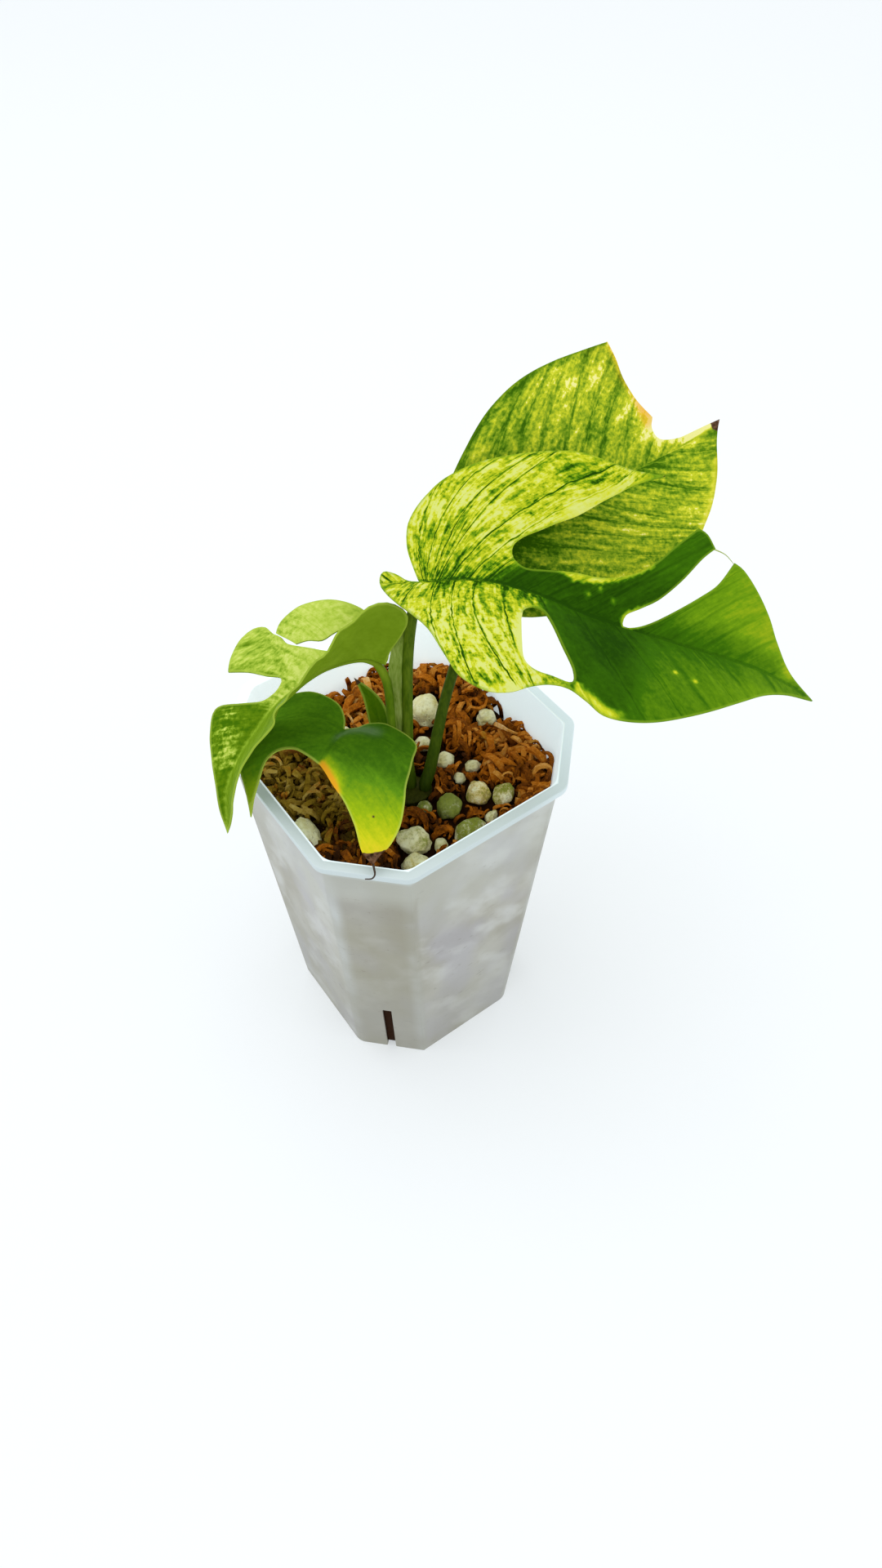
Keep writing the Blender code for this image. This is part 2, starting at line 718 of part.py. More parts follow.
BACK_LEAF = Leaf(
    "leaf_back",
    midrib=((21.2, 15, 146.8), (30.4, 20, 151), (42.2, 26.2, 154), (58.8, 35, 156), (71.2, 41.6, 158),
            (78.9, 45.7, 161.5)),
    roll=38,
    left=((0, 6), (80, 6)),
    right=((0, 10), (80, 10)),
    curl=(0.001, 0.003),
    outline=(
        ((0, 0), (-2.5, 2), (-4.8, 5.5), (-4.5, 10.5), (-1.2, 14.8), (3, 17.8), (7.5, 20.5), (13.6, 24.6),
         (19.4, 27.7), (27, 30), (35, 30.6), (43, 30.2), (51, 29.4)),
        ((51, 29.4), (51, 25), (50.5, 20.6), (51.2, 14.8), (53.2, 9.5)),
        ((53.2, 9.5), (51.8, 7.4), (52.4, 4.4), (56.4, 2.6), (62, 1.6), (68, 0)),
        ((68, 0), (66, -1.8), (63.3, -4.8), (59.5, -10.4), (55.6, -15.2), (51.5, -18.7), (46.8, -22),
         (39.4, -25.1), (30.2, -26.5), (20, -25.6), (11.4, -22.5), (4, -18.4), (-1.4, -14), (-5.4, -9),
         (-6, -4.6), (-3.6, -1.4), (0, 0)),
    ),
    petiole=((6, -6, CROWN_TOP + GAP), (7.4, -4.5, 99.5), (9.2, -2, 108), (11.1, 1, 116), (13.7, 5, 123.5),
             (17.6, 10, 134.5)),
    rib=0.6,
)

LEFT_LEAF = Leaf(
    "leaf_left",
    midrib=((-2, 0, 132), (-7.6, -1, 135.3), (-15.5, -3, 134.7), (-21.7, -4.5, 131.2), (-27.5, -6.5, 127.5),
            (-33, -11, 122.7), (-37.4, -15.5, 118.2), (-40, -20, 113), (-41, -24, 103)),
    left=((0, 92), (5, 92), (10, 71), (14, 54), (18, 40), (25, 36), (40, 47), (50, 55), (60, 62)),
    right=((-20, 35), (0, 20), (15, 14), (30, 5), (65, 0)),
    curl=(0.0, 0.006),
    outline=(
        ((0, 0), (0.6, 3), (1.1, 6), (1.2, 10.5), (2.4, 14.5), (4.8, 17.2), (10, 18), (20, 17.5), (30, 16),
         (40, 13), (50, 8.5), (58, 4), (64, 0)),
        ((64, 0), (58.8, -1.4), (52.3, -2.8), (47.5, -5.8), (43.7, -9.6), (40, -12.5), (37.4, -11.7),
         (34.2, -7.2), (31.4, -3.4), (29.2, -2.4), (27.2, -2.6), (25.6, -4.5), (27.9, -8), (29.7, -12.5),
         (31.7, -16.7)),
        ((31.7, -16.7), (29.7, -21.1), (28.3, -24.1), (26.8, -25.1), (25.2, -23), (24, -19), (22.2, -15.9),
         (20.9, -11.9), (16.9, -7.2), (13.2, -4), (10, -2.8), (7, -3.6), (6.2, -6.4), (7.7, -8.8),
         (10.5, -8.2), (13.6, -7.4), (16.5, -9.2), (19.4, -10.5)),
        ((19.4, -10.5), (21, -14), (23, -18)),
        ((23, -18), (21, -20), (18.5, -20.5), (13.4, -19.9), (8.7, -18.2), (4.8, -14.5), (1, -10),
         (-0.8, -5.5), (-0.8, -2), (0, 0)),
    ),
    petiole=((-1.6, -4.4, CROWN_TOP + GAP), (-1.6, -4.4, 104), (-1.6, -3.4, 115), (-1.9, -1.4, 125.5)),
    rib=0.5,
    thick=1.05,
    colour=(0.38, 0.48, 0.12),
)

LOW_LEAF = Leaf(
    "leaf_low",
    midrib=((-12.4, -8.4, 120), (-15, -14, 121.8), (-18, -20, 121.3), (-21, -27, 118), (-24, -34, 113)),
    left=((-20, 10), (40, 8)),
    right=((-20, 10), (40, 8)),
    curl=(0.012, 0.014),
    sag=((8, 0), (28, 3.5)),
    outline=(
        ((0, 0), (-1.2, 2.4), (-4, 4), (-6, 7), (-5.8, 10), (-4.6, 14.5), (-2.6, 17.3), (2.5, 18.4),
         (8, 19.7), (15.7, 21.1), (21.7, 21.7), (26.4, 20.8), (28.5, 19.6), (30.6, 17.9)),
        ((30.6, 17.9), (29.3, 15.3), (24.2, 12.2), (20, 8.5), (17.2, 4.9), (14.7, 2), (13.2, 0)),
        ((13.2, 0), (12.2, -3.4), (11.6, -7.2), (12.8, -10.8), (15.5, -12.9), (20, -13.3), (25, -13.6),
         (29, -13)),
        ((29, -13), (25.4, -15.3), (22.3, -17), (19, -19), (12, -22.5), (4, -24), (-4, -23.2), (-10, -20.5),
         (-12.6, -16.5), (-12, -12), (-8.8, -5.6), (-4, -1.8), (0, 0)),
    ),
    petiole=((-3.4, -7.6, CROWN_TOP + GAP), (-5.6, -8.2, 102), (-9.2, -8.7, 112)),
    rib=0.35,
    thick=1.1,
)

SHEATH_LEAF = Leaf(
    "sheath_leaf",
    midrib=((-4, -3, CROWN_TOP + GAP), (-4.6, -2.2, 102), (-6.4, 0.6, 110), (-8.5, 4, 116.5),
            (-10.6, 7.4, 121.6)),
    roll=-35,
    left=((0, 24), (30, 10)),
    right=((0, 24), (30, 10)),
    curl=(0.0, 0.0),
    outline=(
        ((0, 1.1), (6, 2), (13, 2.6), (20, 2), (26, 0.8), (30.6, 0)),
        ((30.6, 0), (26, -0.8), (20, -2), (13, -2.6), (6, -2), (0, -1.1)),
        ((0, -1.1), (0, 1.1)),
    ),
    petiole=(),
    colour=(0.30, 0.42, 0.08),
)


def make_plant(group, turn):
    for leaf in (FRONT_LEAF, BACK_LEAF, LEFT_LEAF, LOW_LEAF):
        make_leaf(leaf, group, turn)
    make_blade(SHEATH_LEAF, group).parent = turn


def make_all():
    for obj in list(bpy.data.objects):
        bpy.data.objects.remove(obj)
    group = new_collection("potted rhaphidophora")
    turn = bpy.data.objects.new("plant turn", None)
    turn.rotation_euler = (0.0, 0.0, PLANT_TURN)
    group.objects.link(turn)
    make_pot(group)
    make_filling(group)
    make_stem(group)
    stone = material("pumice", (0.78, 0.74, 0.62), 0.85)
    for k, spec in enumerate(STONES):
        make_stone_mesh(group, f"pumice_{k + 1:02d}", spec, k, 0.0, stone)
    make_plant(group, turn)


make_all()
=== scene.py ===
"""Looks of the potted rhaphidophora: fine blades and petioles, frosted pot, coconut fibre and pumice.

The plant is drawn in millimetres in its own axes (X to the side, Y to the back, Z up, origin at the
middle of the pot's foot), turned about Z against the pot. A leaf is drawn flat, as if pressed: u along
the midrib from the petiole, v across it, positive on the left; the flat outline is then carried onto
the folded and arched leaf.
"""
import math

import bmesh
import bpy
import numpy as np
from mathutils import Matrix, Vector, noise
from mathutils.geometry import delaunay_2d_cdt


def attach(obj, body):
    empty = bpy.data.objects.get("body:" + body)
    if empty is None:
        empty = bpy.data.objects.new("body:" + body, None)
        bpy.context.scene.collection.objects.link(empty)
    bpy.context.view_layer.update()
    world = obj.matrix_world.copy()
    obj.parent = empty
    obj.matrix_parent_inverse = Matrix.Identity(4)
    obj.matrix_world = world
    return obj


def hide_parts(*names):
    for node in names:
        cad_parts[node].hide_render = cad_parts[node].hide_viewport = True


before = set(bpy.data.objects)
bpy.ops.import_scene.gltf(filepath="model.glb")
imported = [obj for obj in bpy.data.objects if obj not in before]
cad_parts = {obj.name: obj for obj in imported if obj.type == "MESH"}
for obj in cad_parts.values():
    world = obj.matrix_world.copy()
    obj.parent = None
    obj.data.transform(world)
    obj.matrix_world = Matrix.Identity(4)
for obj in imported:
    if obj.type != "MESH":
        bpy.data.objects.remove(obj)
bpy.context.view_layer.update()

MM = 0.001

# Pot, in millimetres
POT_HEIGHT = 108.0
RIM_HALF = 37.5
RIM_CUT = 15.1
LIP_HEIGHT = 1.9
LIP_OVERHANG = 2.0
FOOT_HALF = 29.3
FOOT_CUT = 14.0
WALL = 0.9
FLOOR = 1.2
CUT_PER_OFFSET = 2.0 - math.sqrt(2.0)
CORNER_ROUND = 1.6
EDGE_ROUND = 0.28
SLIT_WIDTH = 2.5
SLIT_HEIGHT = 27.0
SLIT_REACH = 6.0
DRAIN_RADIUS = 3.0
DRAIN_CIRCLE = 16.0
WALL_HEIGHT = POT_HEIGHT - LIP_HEIGHT
TOP_HALF = RIM_HALF - LIP_OVERHANG
TOP_CUT = RIM_CUT - CUT_PER_OFFSET * LIP_OVERHANG
FOOT_FLAT = FOOT_HALF - FOOT_CUT
# How fast the wall's half width and half a side's flat grow with height
WALL_SLOPE = (TOP_HALF - FOOT_HALF) / WALL_HEIGHT
FLAT_SLOPE = 0.0590
RIM_OVERLAP = 0.1
CUTTER_PLAY = 2.0
SLIT_CUTTER_OUT = 3.0
DIAGONALS = (45.0, 135.0, 225.0, 315.0)

# Plant in the pot
PLANT_TURN = math.radians(-32.2)
FILL_LEVEL = 91.9
FILL_SLOPE = 0.02
FILL_LUMP = 1.2
CROWN_CENTRE = (1.2, -5.6)
CROWN_HALF = (6.6, 4.6)
CROWN_TOP = 93.6
STEM_FOOT = 58.0
# Height on the stem, and its width there as a share of the crown's
STEM_SIZES = (
    (STEM_FOOT, 0.42), (STEM_FOOT + 3.0, 0.62), (70.0, 0.66), (72.0, 0.74), (74.0, 0.68), (80.0, 0.72),
    (82.0, 0.82), (84.0, 0.76), (90.5, 0.98), (CROWN_TOP - 0.8, 1.0), (CROWN_TOP, 0.8),
)

# Blades and petioles
LEAF_THICKNESS = 0.42
SHEET_CELL = 0.85
FOLD_SOFTNESS = 2.0
SAG_REACH = 15.0
VEIN_STRETCH = (-4.0, 24.0)
HALVINGS = 30
QUILT = 0.25
GROOVE = 0.35
GROOVE_WIDTH = 1.1
RIB_DEPTH = 0.3
RIB_SHARE = 0.6
RIB_TAPER = 0.7
RIB_EASE = 2.0
RIB_STEPS = 40
RIB_JOIN = 3
# Heights below the blade over which the petiole's rib takes painted light
RIB_BACKLIGHT = (-5.0, -0.5)
ROOT_RISE = 1.6
PETIOLE_SIDES = 6
THREAD_SIDES = 2
STEM_SIDES = 10
FOOT_SWELL = 0.22
JOINT_DROP = 0.8
WING_ROWS = 40
WING_COLUMNS = 7
WING_CUP = 0.9
WING = (
    ((-1.5, -4.2, 100), (-1.4, -3.2, 114), (-1.5, -2.2, 120), (-1.7, -1.2, 124.5), (-1.6, -0.3, 129.3),
     (-1, 0.6, 133.2), (-0.1, 1.3, 136.6), (1.9, 2, 139.7)),
    ((1.3, -4, 100), (1.3, -2.8, 114), (1.5, -2, 120), (1.7, -1.2, 124.5), (2, -0.4, 130), (2.3, 0.3, 134),
     (2.7, 1.2, 137.5), (3.3, 2, 140.5)),
)

# Filling
FILL_PLAY = 0.35
FLOOR_PLAY = 0.3
LOOSE_PLAY = 0.2
CORE_CELL = 1.6
CORE_DROP = 1.4
CORE_LUMP = 1.1
CORE_SHADE = 0.9
LOOSE = 1150
LOOSE_SIZE = (0.85, 1.5)
SHORT = 150
SHORT_SIZE = (0.45, 0.8)
MOST_TRIES = 8 * LOOSE
SHORT_PATCH = ((2.0, -27.0), (27.0, 2.0))
LOOSE_DEPTH = 2.6
LOOSE_RAISE = 0.6
LOOSE_REACH_DOWN = 2.2
# Strips of fibre: length, width, thickness, curl and twist in degrees, advance of the coil in mm a mm
RIBBONS = (
    (12.0, 1.1, 0.60, 400, 20, 0.22),
    (15.0, 1.0, 0.55, 560, 30, 0.26),
    (9.0, 1.3, 0.65, 260, 20, 0.16),
    (16.0, 0.9, 0.55, 620, 10, 0.30),
    (11.0, 1.2, 0.60, 330, 60, 0.12),
    (13.0, 1.1, 0.60, 480, -20, 0.22),
    (14.0, 1.2, 0.65, 300, -60, 0.16),
    (8.0, 1.1, 0.65, 300, 10, 0.18),
    (17.0, 0.8, 0.55, 500, 50, 0.26),
    (10.0, 1.4, 0.60, 200, -30, 0.14),
)
RIBBON_CUTS = 13
# Balls that the loose fibre keeps out of: height and size by a stone's radius, then stalks and crown
STONE_BALLS = ((0.34, 1.12), (1.5, 0.9))
CLEAR_HEIGHT = 16
STALK_SWELL = 1.2
STALK_GAP = 0.3
CROWN_BALLS = (-2.2, -1.1, 0.0, 1.1, 2.2)
CROWN_BALL_HEIGHTS = (84.0, 88.0, 91.5)
CROWN_GAP = 0.2

# Stones: place across the plant's axes, radius, stretch along a direction in degrees, algae, warmth
STONES = (
    (-23.7, -17.3, 3.2, 1.55, 120, 0.05, 0.1),
    (2.4, -22.2, 3.6, 1.10, 10, 0.35, 0.0),
    (2.6, -29.4, 3.0, 1.10, 170, 0.20, 0.7),
    (16.1, -19.9, 3.4, 1.25, 25, 0.80, 0.9),
    (19.2, -8.4, 3.1, 1.10, 90, 0.45, 1.1),
    (25.5, -9.4, 2.7, 1.10, 60, 0.60, 1.0),
    (11.6, -12.0, 3.2, 1.00, 0, 0.95, 0.2),
    (5.4, -12.2, 1.9, 1.00, 0, 0.75, 0.2),
    (8.9, -23.4, 1.7, 1.10, 100, 0.25, 0.3),
    (21.9, -15.4, 1.6, 1.30, 60, 0.35, 0.3),
    (11.6, 3.2, 2.4, 1.10, 60, 0.05, 0.0),
    (14.9, -2.6, 1.5, 1.00, 0, 0.10, 0.2),
    (18.6, 0.8, 1.8, 1.10, 20, 0.20, 0.6),
    (7.1, 20.2, 4.4, 1.15, 80, 0.15, 0.6),
    (6.2, 9.2, 2.2, 1.10, 10, 0.10, 0.0),
    (-14.5, 12.5, 3.1, 1.15, 150, 0.30, 0.2),
    (23.5, 16.5, 2.6, 1.10, 110, 0.00, 0.0),
)
STONE_RAISE = 0.34
STONE_FLATNESS = 0.86
STONE_FACETS = 9
FACET_SHARPNESS = 24.0

# View: the camera's place in millimetres; turned right, tilted up from straight down, and rolled
CAMERA_PLACE = (0.0, -177.15, 306.7)
CAMERA_YAW = math.radians(3.33)
CAMERA_TILT = math.radians(90.0 - 51.03)
CAMERA_ROLL = math.radians(-0.39)
LENS_LENGTH = 24.896
SENSOR_WIDTH = 36.0

# Lamps: name, place and size in metres, power in watts
LAMPS = (("key", (-0.15, 0.2, 0.9), 0.8, 2.2), ("fill", (0.6, -0.7, 0.7), 0.8, 0.8))
LAMP_AIM = (0.0, 0.0, 0.1)
FLOOR_SIZE = 6.0
FLOOR_COLOUR = (0.5, 0.515, 0.52, 1.0)
FLOOR_GLOW = (0.42, 0.44, 0.45, 1.0)
SKY_COLOUR = (0.96, 0.98, 1.0, 1.0)
SKY_STRENGTH = 0.97
SCENE_LIGHT = 0.92
SCREEN_GAMMA = 2.2

# Light that comes through the plastic: on the inner wall, at the back and at the right of the rim
INNER_GLOW = (0.34, 0.39, 0.41, 1.0)
BACK_GLOW = (0.50, 0.55, 0.57, 1.0)
RIGHT_GLOW = (0.28, 0.33, 0.38, 1.0)

# Tones of the blades: place on the ramp, screen colour
FRONT_TONES = ((0.0, 36, 70, 6), (0.2, 60, 106, 12), (0.38, 108, 150, 22), (0.56, 166, 182, 30),
               (0.76, 206, 212, 46), (1.0, 214, 222, 122))
BACK_TONES = ((0.0, 58, 98, 12), (0.25, 92, 132, 24), (0.5, 142, 168, 38), (0.78, 196, 204, 44),
              (0.94, 224, 224, 76), (1.0, 242, 238, 150))
YOUNG_TONES = ((0.0, 70, 112, 8), (0.3, 100, 135, 18), (0.5, 134, 168, 44), (0.75, 178, 202, 74),
               (1.0, 208, 222, 112))
LOW_TONES = ((0.0, 50, 90, 20), (0.2, 70, 114, 26), (0.4, 98, 146, 32), (0.65, 154, 184, 30),
             (0.85, 202, 206, 36), (1.0, 224, 214, 48))

# Spots on the flat blades: how much paler, place along and across, size
FRONT_SPOTS = (
    (-0.10, 44, -6, 7), (-0.16, 18.5, -5.5, 5.5), (-0.20, 28, 34.5, 6.5), (0.25, 85.5, 3.2, 2.2),
    (0.14, 2, 16, 5), (-0.16, 3, 9, 6), (0.6, 59, -9.5, 0.5), (0.6, 63.5, -10, 0.5), (0.6, 39.5, 6.5, 0.5),
    (0.6, 43, 5, 0.5), (0.6, 37, 4.5, 0.5),
)
# The back leaf's first spot is painted shadow, cast by the front leaf
BACK_SPOTS = (
    (-0.30, 11, -5, 11), (0.10, 44, 24, 5), (-0.10, 22, 20, 8), (-0.14, 13.5, 19.5, 5),
    (-0.08, 18.5, 23.5, 4), (-0.18, 38.5, 11.5, 5), (0.10, 37, 24, 7), (-0.12, 48, -6, 8),
    (0.10, 50, -12, 7), (0.06, 20, -20, 6), (0.06, 28, 24, 7),
)
LEFT_SPOTS = ((-0.08, 27, -17, 7), (0.1, 12, -12, 8))
# The low leaf's first spot: its own paler olive, and painted light where that lobe hangs in shade
LOW_SPOTS = ((0.34, 25, -15, 9), (0.06, -1, -12, 7))
# Flecked places on the left blade: along, across, size
LEFT_FLECKS = ((41.5, -6, 3.2), (45.5, -3.2, 3), (38, -8.5, 1.6))
# Pale green of light through a blade: on undersides partly their own paler green, partly painted light; on
# ribs painted light
BACKLIT_GREEN = (140, 165, 40)

# Hairs: steps from the place on the leaf where each starts
LOW_THREAD = ((0.2, -0.7, -1.2), (0.3, -1.8, -1.9), (-0.4, -2.6, -2.2), (-1.9, -2.6, -2.2))
LEFT_THREAD = ((-0.3, -0.2, -1.8), (-0.8, -0.4, -3.8))
FRONT_THREAD_BOW = (0.4, 0.2, 0.3)


# Places and curves


def turned(points, angle=PLANT_TURN):
    """Places turned about Z; without an angle, from the plant's axes to the pot's."""
    points = np.asarray(points, float)
    c, s = math.cos(angle), math.sin(angle)
    out = points.copy()
    out[..., 0] = c * points[..., 0] - s * points[..., 1]
    out[..., 1] = s * points[..., 0] + c * points[..., 1]
    return out


def unturned(points):
    """Places in the pot's axes, seen in the plant's axes."""
    return turned(points, -PLANT_TURN)


def towards(degrees):
    """The level direction at an angle from X, as x and y."""
    return np.array((math.cos(math.radians(degrees)), math.sin(math.radians(degrees))))


def smooth_path(points, step):
    """Points about a step apart on a Catmull-Rom curve through the given ones."""
    points = np.asarray(points, float)
    ends = np.vstack([2.0 * points[0] - points[1], points, 2.0 * points[-1] - points[-2]])
    path = []
    for a, b, c, d in zip(ends, ends[1:], ends[2:], ends[3:]):
        count = max(1, round(float(np.linalg.norm(c - b)) / step))
        for k in range(count):
            t = k / count
            path.append(0.5 * (2.0 * b + (c - a) * t + (2.0 * a - 5.0 * b + 4.0 * c - d) * t * t
                               + (3.0 * b - 3.0 * c + d - a) * t ** 3))
    path.append(points[-1])
    return np.array(path)


def runs_of(path):
    """How far along the path each of its points lies."""
    return np.append(0.0, np.cumsum(np.linalg.norm(np.diff(path, axis=0), axis=1)))


def at_runs(rows, runs, where):
    """Rows that belong to the points of a path, interpolated at other places along it."""
    return np.stack([np.interp(where, runs, axis) for axis in rows.T], -1)


def resampled(path, count):
    """The path through the same places with the given number of even steps."""
    runs = runs_of(path)
    return at_runs(path, runs, np.linspace(0.0, runs[-1], count))


def between(stops, u):
    """Values at u, eased from stop to stop."""
    at, value = np.array([stop[:2] for stop in stops], float).T
    u = np.asarray(u, float)
    k = np.clip(np.searchsorted(at, u) - 1, 0, len(at) - 2)
    t = np.clip((u - at[k]) / (at[k + 1] - at[k]), 0.0, 1.0)
    return value[k] + (value[k + 1] - value[k]) * t * t * (3.0 - 2.0 * t)


def rise(x, low, high):
    """0 below low, 1 above high, eased between."""
    t = np.clip((np.asarray(x, float) - low) / (high - low), 0.0, 1.0)
    return t * t * (3.0 - 2.0 * t)


def fall(x, low, high):
    """1 below low, 0 above high, eased between."""
    return 1.0 - rise(x, low, high)


def bell(x, width):
    """1 at 0, dying away over the width on both sides."""
    return np.exp(-(x / width) ** 2)


def spot(u, v, along, across, size):
    """A soft round spot of the given size about a place on the flat leaf."""
    return np.exp(-((u - along) ** 2 + (v - across) ** 2) / (size * size))


def spots(u, v, rows):
    """The sum of soft spots, each row a strength, a place and a size."""
    return sum(strength * spot(u, v, *place) for strength, *place in rows)


def unit(vectors):
    return vectors / np.linalg.norm(vectors, axis=-1, keepdims=True)


def lumps(place):
    """Smooth noise at a place, from about -1 to 1."""
    return noise.noise(Vector(place))


def inside(points, *loops):
    """True for each point that lies in the first closed loop and in none of the others, its holes."""
    hit = np.zeros(len(points), bool)
    x, y = points.T
    for loop in loops:
        for (x0, y0), (x1, y1) in zip(loop, np.roll(loop, -1, axis=0)):
            if y0 != y1:
                hit ^= ((y0 > y) != (y1 > y)) & (x < x0 + (y - y0) * (x1 - x0) / (y1 - y0))
    return hit


def distance_to(points, loops):
    """Distance from each point to the nearest of the closed loops."""
    best = np.full(len(points), 1e9)
    for loop in loops:
        for a, b in zip(loop, np.roll(loop, -1, axis=0)):
            d = b - a
            t = np.clip((points - a) @ d / max(d @ d, 1e-9), 0.0, 1.0)
            best = np.minimum(best, np.linalg.norm(points - a - t[:, None] * d, axis=1))
    return best


def flat_sheet(loops, cell):
    """Points and triangles that fill the first loop round the others; the loops' points come first."""
    low, high = loops[0].min(0), loops[0].max(0)
    row_height = cell * math.sqrt(3.0) / 2.0
    rows = int((high[1] - low[1]) / row_height) + 2
    columns = int((high[0] - low[0]) / cell) + 2
    column, row = np.meshgrid(np.arange(columns), np.arange(rows))
    lattice = np.stack([low[0] + (column + 0.5 * (row % 2)) * cell, low[1] + row * row_height], -1)
    lattice = lattice.reshape(-1, 2)
    lattice = lattice[inside(lattice, *loops)]
    lattice = lattice[distance_to(lattice, loops) > 0.5 * cell]
    points = np.vstack(loops + [lattice])
    edges, first = [], 0
    for loop in loops:
        edges += [(first + k, first + (k + 1) % len(loop)) for k in range(len(loop))]
        first += len(loop)
    _, _, faces, origins, *_ = delaunay_2d_cdt([Vector(p) for p in points], edges, [], 0, 1e-5)
    faces = np.array([[origins[k][0] for k in face] for face in faces])
    return points, faces[inside(points[faces].mean(1), *loops)]


# Modelling


def pick(obj):
    """Makes the object the only one selected, and active."""
    bpy.ops.object.select_all(action="DESELECT")
    obj.select_set(True)
    bpy.context.view_layer.objects.active = obj


def apply_modifiers(obj):
    pick(obj)
    for step in list(obj.modifiers):
        bpy.ops.object.modifier_apply(modifier=step.name)


def modify(obj, kind, **settings):
    """Adds a modifier with its settings and applies it."""
    step = obj.modifiers.new(kind, kind)
    for name, value in settings.items():
        setattr(step, name, value)
    apply_modifiers(obj)


def select_upright(obj, length):
    """In edit mode, selects the edges that climb more than half the length, in millimetres."""
    drawn = bmesh.from_edit_mesh(obj.data)
    for edge in drawn.edges:
        a, b = edge.verts
        edge.select = abs(a.co.z - b.co.z) > 0.5 * length * MM
    drawn.select_flush(False)
    bmesh.update_edit_mesh(obj.data)


def places_of(obj):
    """The places of the vertices, in millimetres."""
    return np.array([vertex.co for vertex in obj.data.vertices]) / MM


def move_to(obj, places):
    """Puts the vertices at places in the plant's axes."""
    obj.data.vertices.foreach_set("co", (turned(places) * MM).ravel())


def new_object(name, data):
    obj = bpy.data.objects.new(name, data)
    bpy.context.scene.collection.objects.link(obj)
    return obj


def new_piece(name, points, faces):
    """A mesh object from points in the plant's axes, in millimetres."""
    mesh = bpy.data.meshes.new(name)
    mesh.from_pydata((turned(points) * MM).tolist(), [], faces)
    return new_object(name, mesh)


def put_numbers(obj, **marks):
    """Stores numbers on the vertices, under each name one for all or one for each."""
    count = len(obj.data.vertices)
    for name, values in marks.items():
        layer = obj.data.attributes.new(name, "FLOAT", "POINT")
        layer.data.foreach_set("value", np.full(count, values, np.float32))


def put_map(obj, name, pairs):
    """Stores a UV map from one pair of numbers for each vertex, made a hundredth of their size."""
    layer = obj.data.uv_layers.new(name=name)
    corner = np.zeros(len(obj.data.loops), np.int32)
    obj.data.loops.foreach_get("vertex_index", corner)
    layer.data.foreach_set("uv", (np.asarray(pairs, np.float32)[corner] * 0.01).ravel())


def finish(obj, paint, node, angle=50.0):
    """Smooth shading, the finish, and the CAD node that the piece stands for."""
    pick(obj)
    bpy.ops.object.shade_smooth_by_angle(angle=math.radians(angle))
    obj.data.materials.clear()
    obj.data.materials.append(paint)
    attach(obj, "root")
    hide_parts(node)


def stalk(name, points, radii, sides):
    """A closed round stalk through the points, which are in the plant's axes."""
    curve = bpy.data.curves.new(name, "CURVE")
    curve.dimensions = "3D"
    curve.bevel_depth = MM
    curve.bevel_resolution = sides
    curve.use_fill_caps = True
    spline = curve.splines.new("POLY")
    spline.points.add(len(points) - 1)
    for knot, point, radius in zip(spline.points, turned(points) * MM, radii):
        knot.co = (*point, 1.0)
        knot.radius = radius
    pick(new_object(name, curve))
    bpy.ops.object.convert(target="MESH")
    obj = bpy.context.object
    bpy.ops.object.mode_set(mode="EDIT")
    bpy.ops.mesh.select_all(action="SELECT")
    bpy.ops.mesh.remove_doubles(threshold=0.01 * MM)
    bpy.ops.mesh.normals_make_consistent(inside=False)
    bpy.ops.object.mode_set(mode="OBJECT")
    return obj


# Finishes


def arithmetic(operation, reflected=False):
    """A method that puts a Math node on the signal and another value."""
    def act(signal, other=0.0):
        first, second = (other, signal) if reflected else (signal, other)
        return signal.paint.node("ShaderNodeMath", {"operation": operation}, {0: first, 1: second})
    return act


class Signal:
    """A value or colour that varies over a surface. Arithmetic on values adds Math nodes."""

    __add__ = __radd__ = arithmetic("ADD")
    __sub__, __rsub__ = arithmetic("SUBTRACT"), arithmetic("SUBTRACT", reflected=True)
    __mul__ = __rmul__ = arithmetic("MULTIPLY")
    __truediv__, __abs__ = arithmetic("DIVIDE"), arithmetic("ABSOLUTE")
    most, least, to_and_fro = arithmetic("MAXIMUM"), arithmetic("MINIMUM"), arithmetic("PINGPONG")

    def __init__(self, paint, socket):
        self.paint, self.socket = paint, socket

    def step(self, low, high):
        """0 below low, 1 above high, eased between."""
        return self.paint.node("ShaderNodeMapRange", {"interpolation_type": "SMOOTHSTEP"},
                               {0: self, 1: low, 2: high, 3: 0.0, 4: 1.0})

    def fade(self, low, high):
        """1 below low, 0 above high, eased between."""
        return 1.0 - self.step(low, high)

    def wave(self, length):
        """0 at each multiple of the length, 1 halfway between."""
        return self.to_and_fro(0.5 * length) / (0.5 * length)


def colour(*screen):
    """The surface colour that looks like a screen colour of 0 to 255 under the scene's light."""
    return tuple(SCENE_LIGHT * (c / 255.0) ** SCREEN_GAMMA for c in screen) + (1.0,)


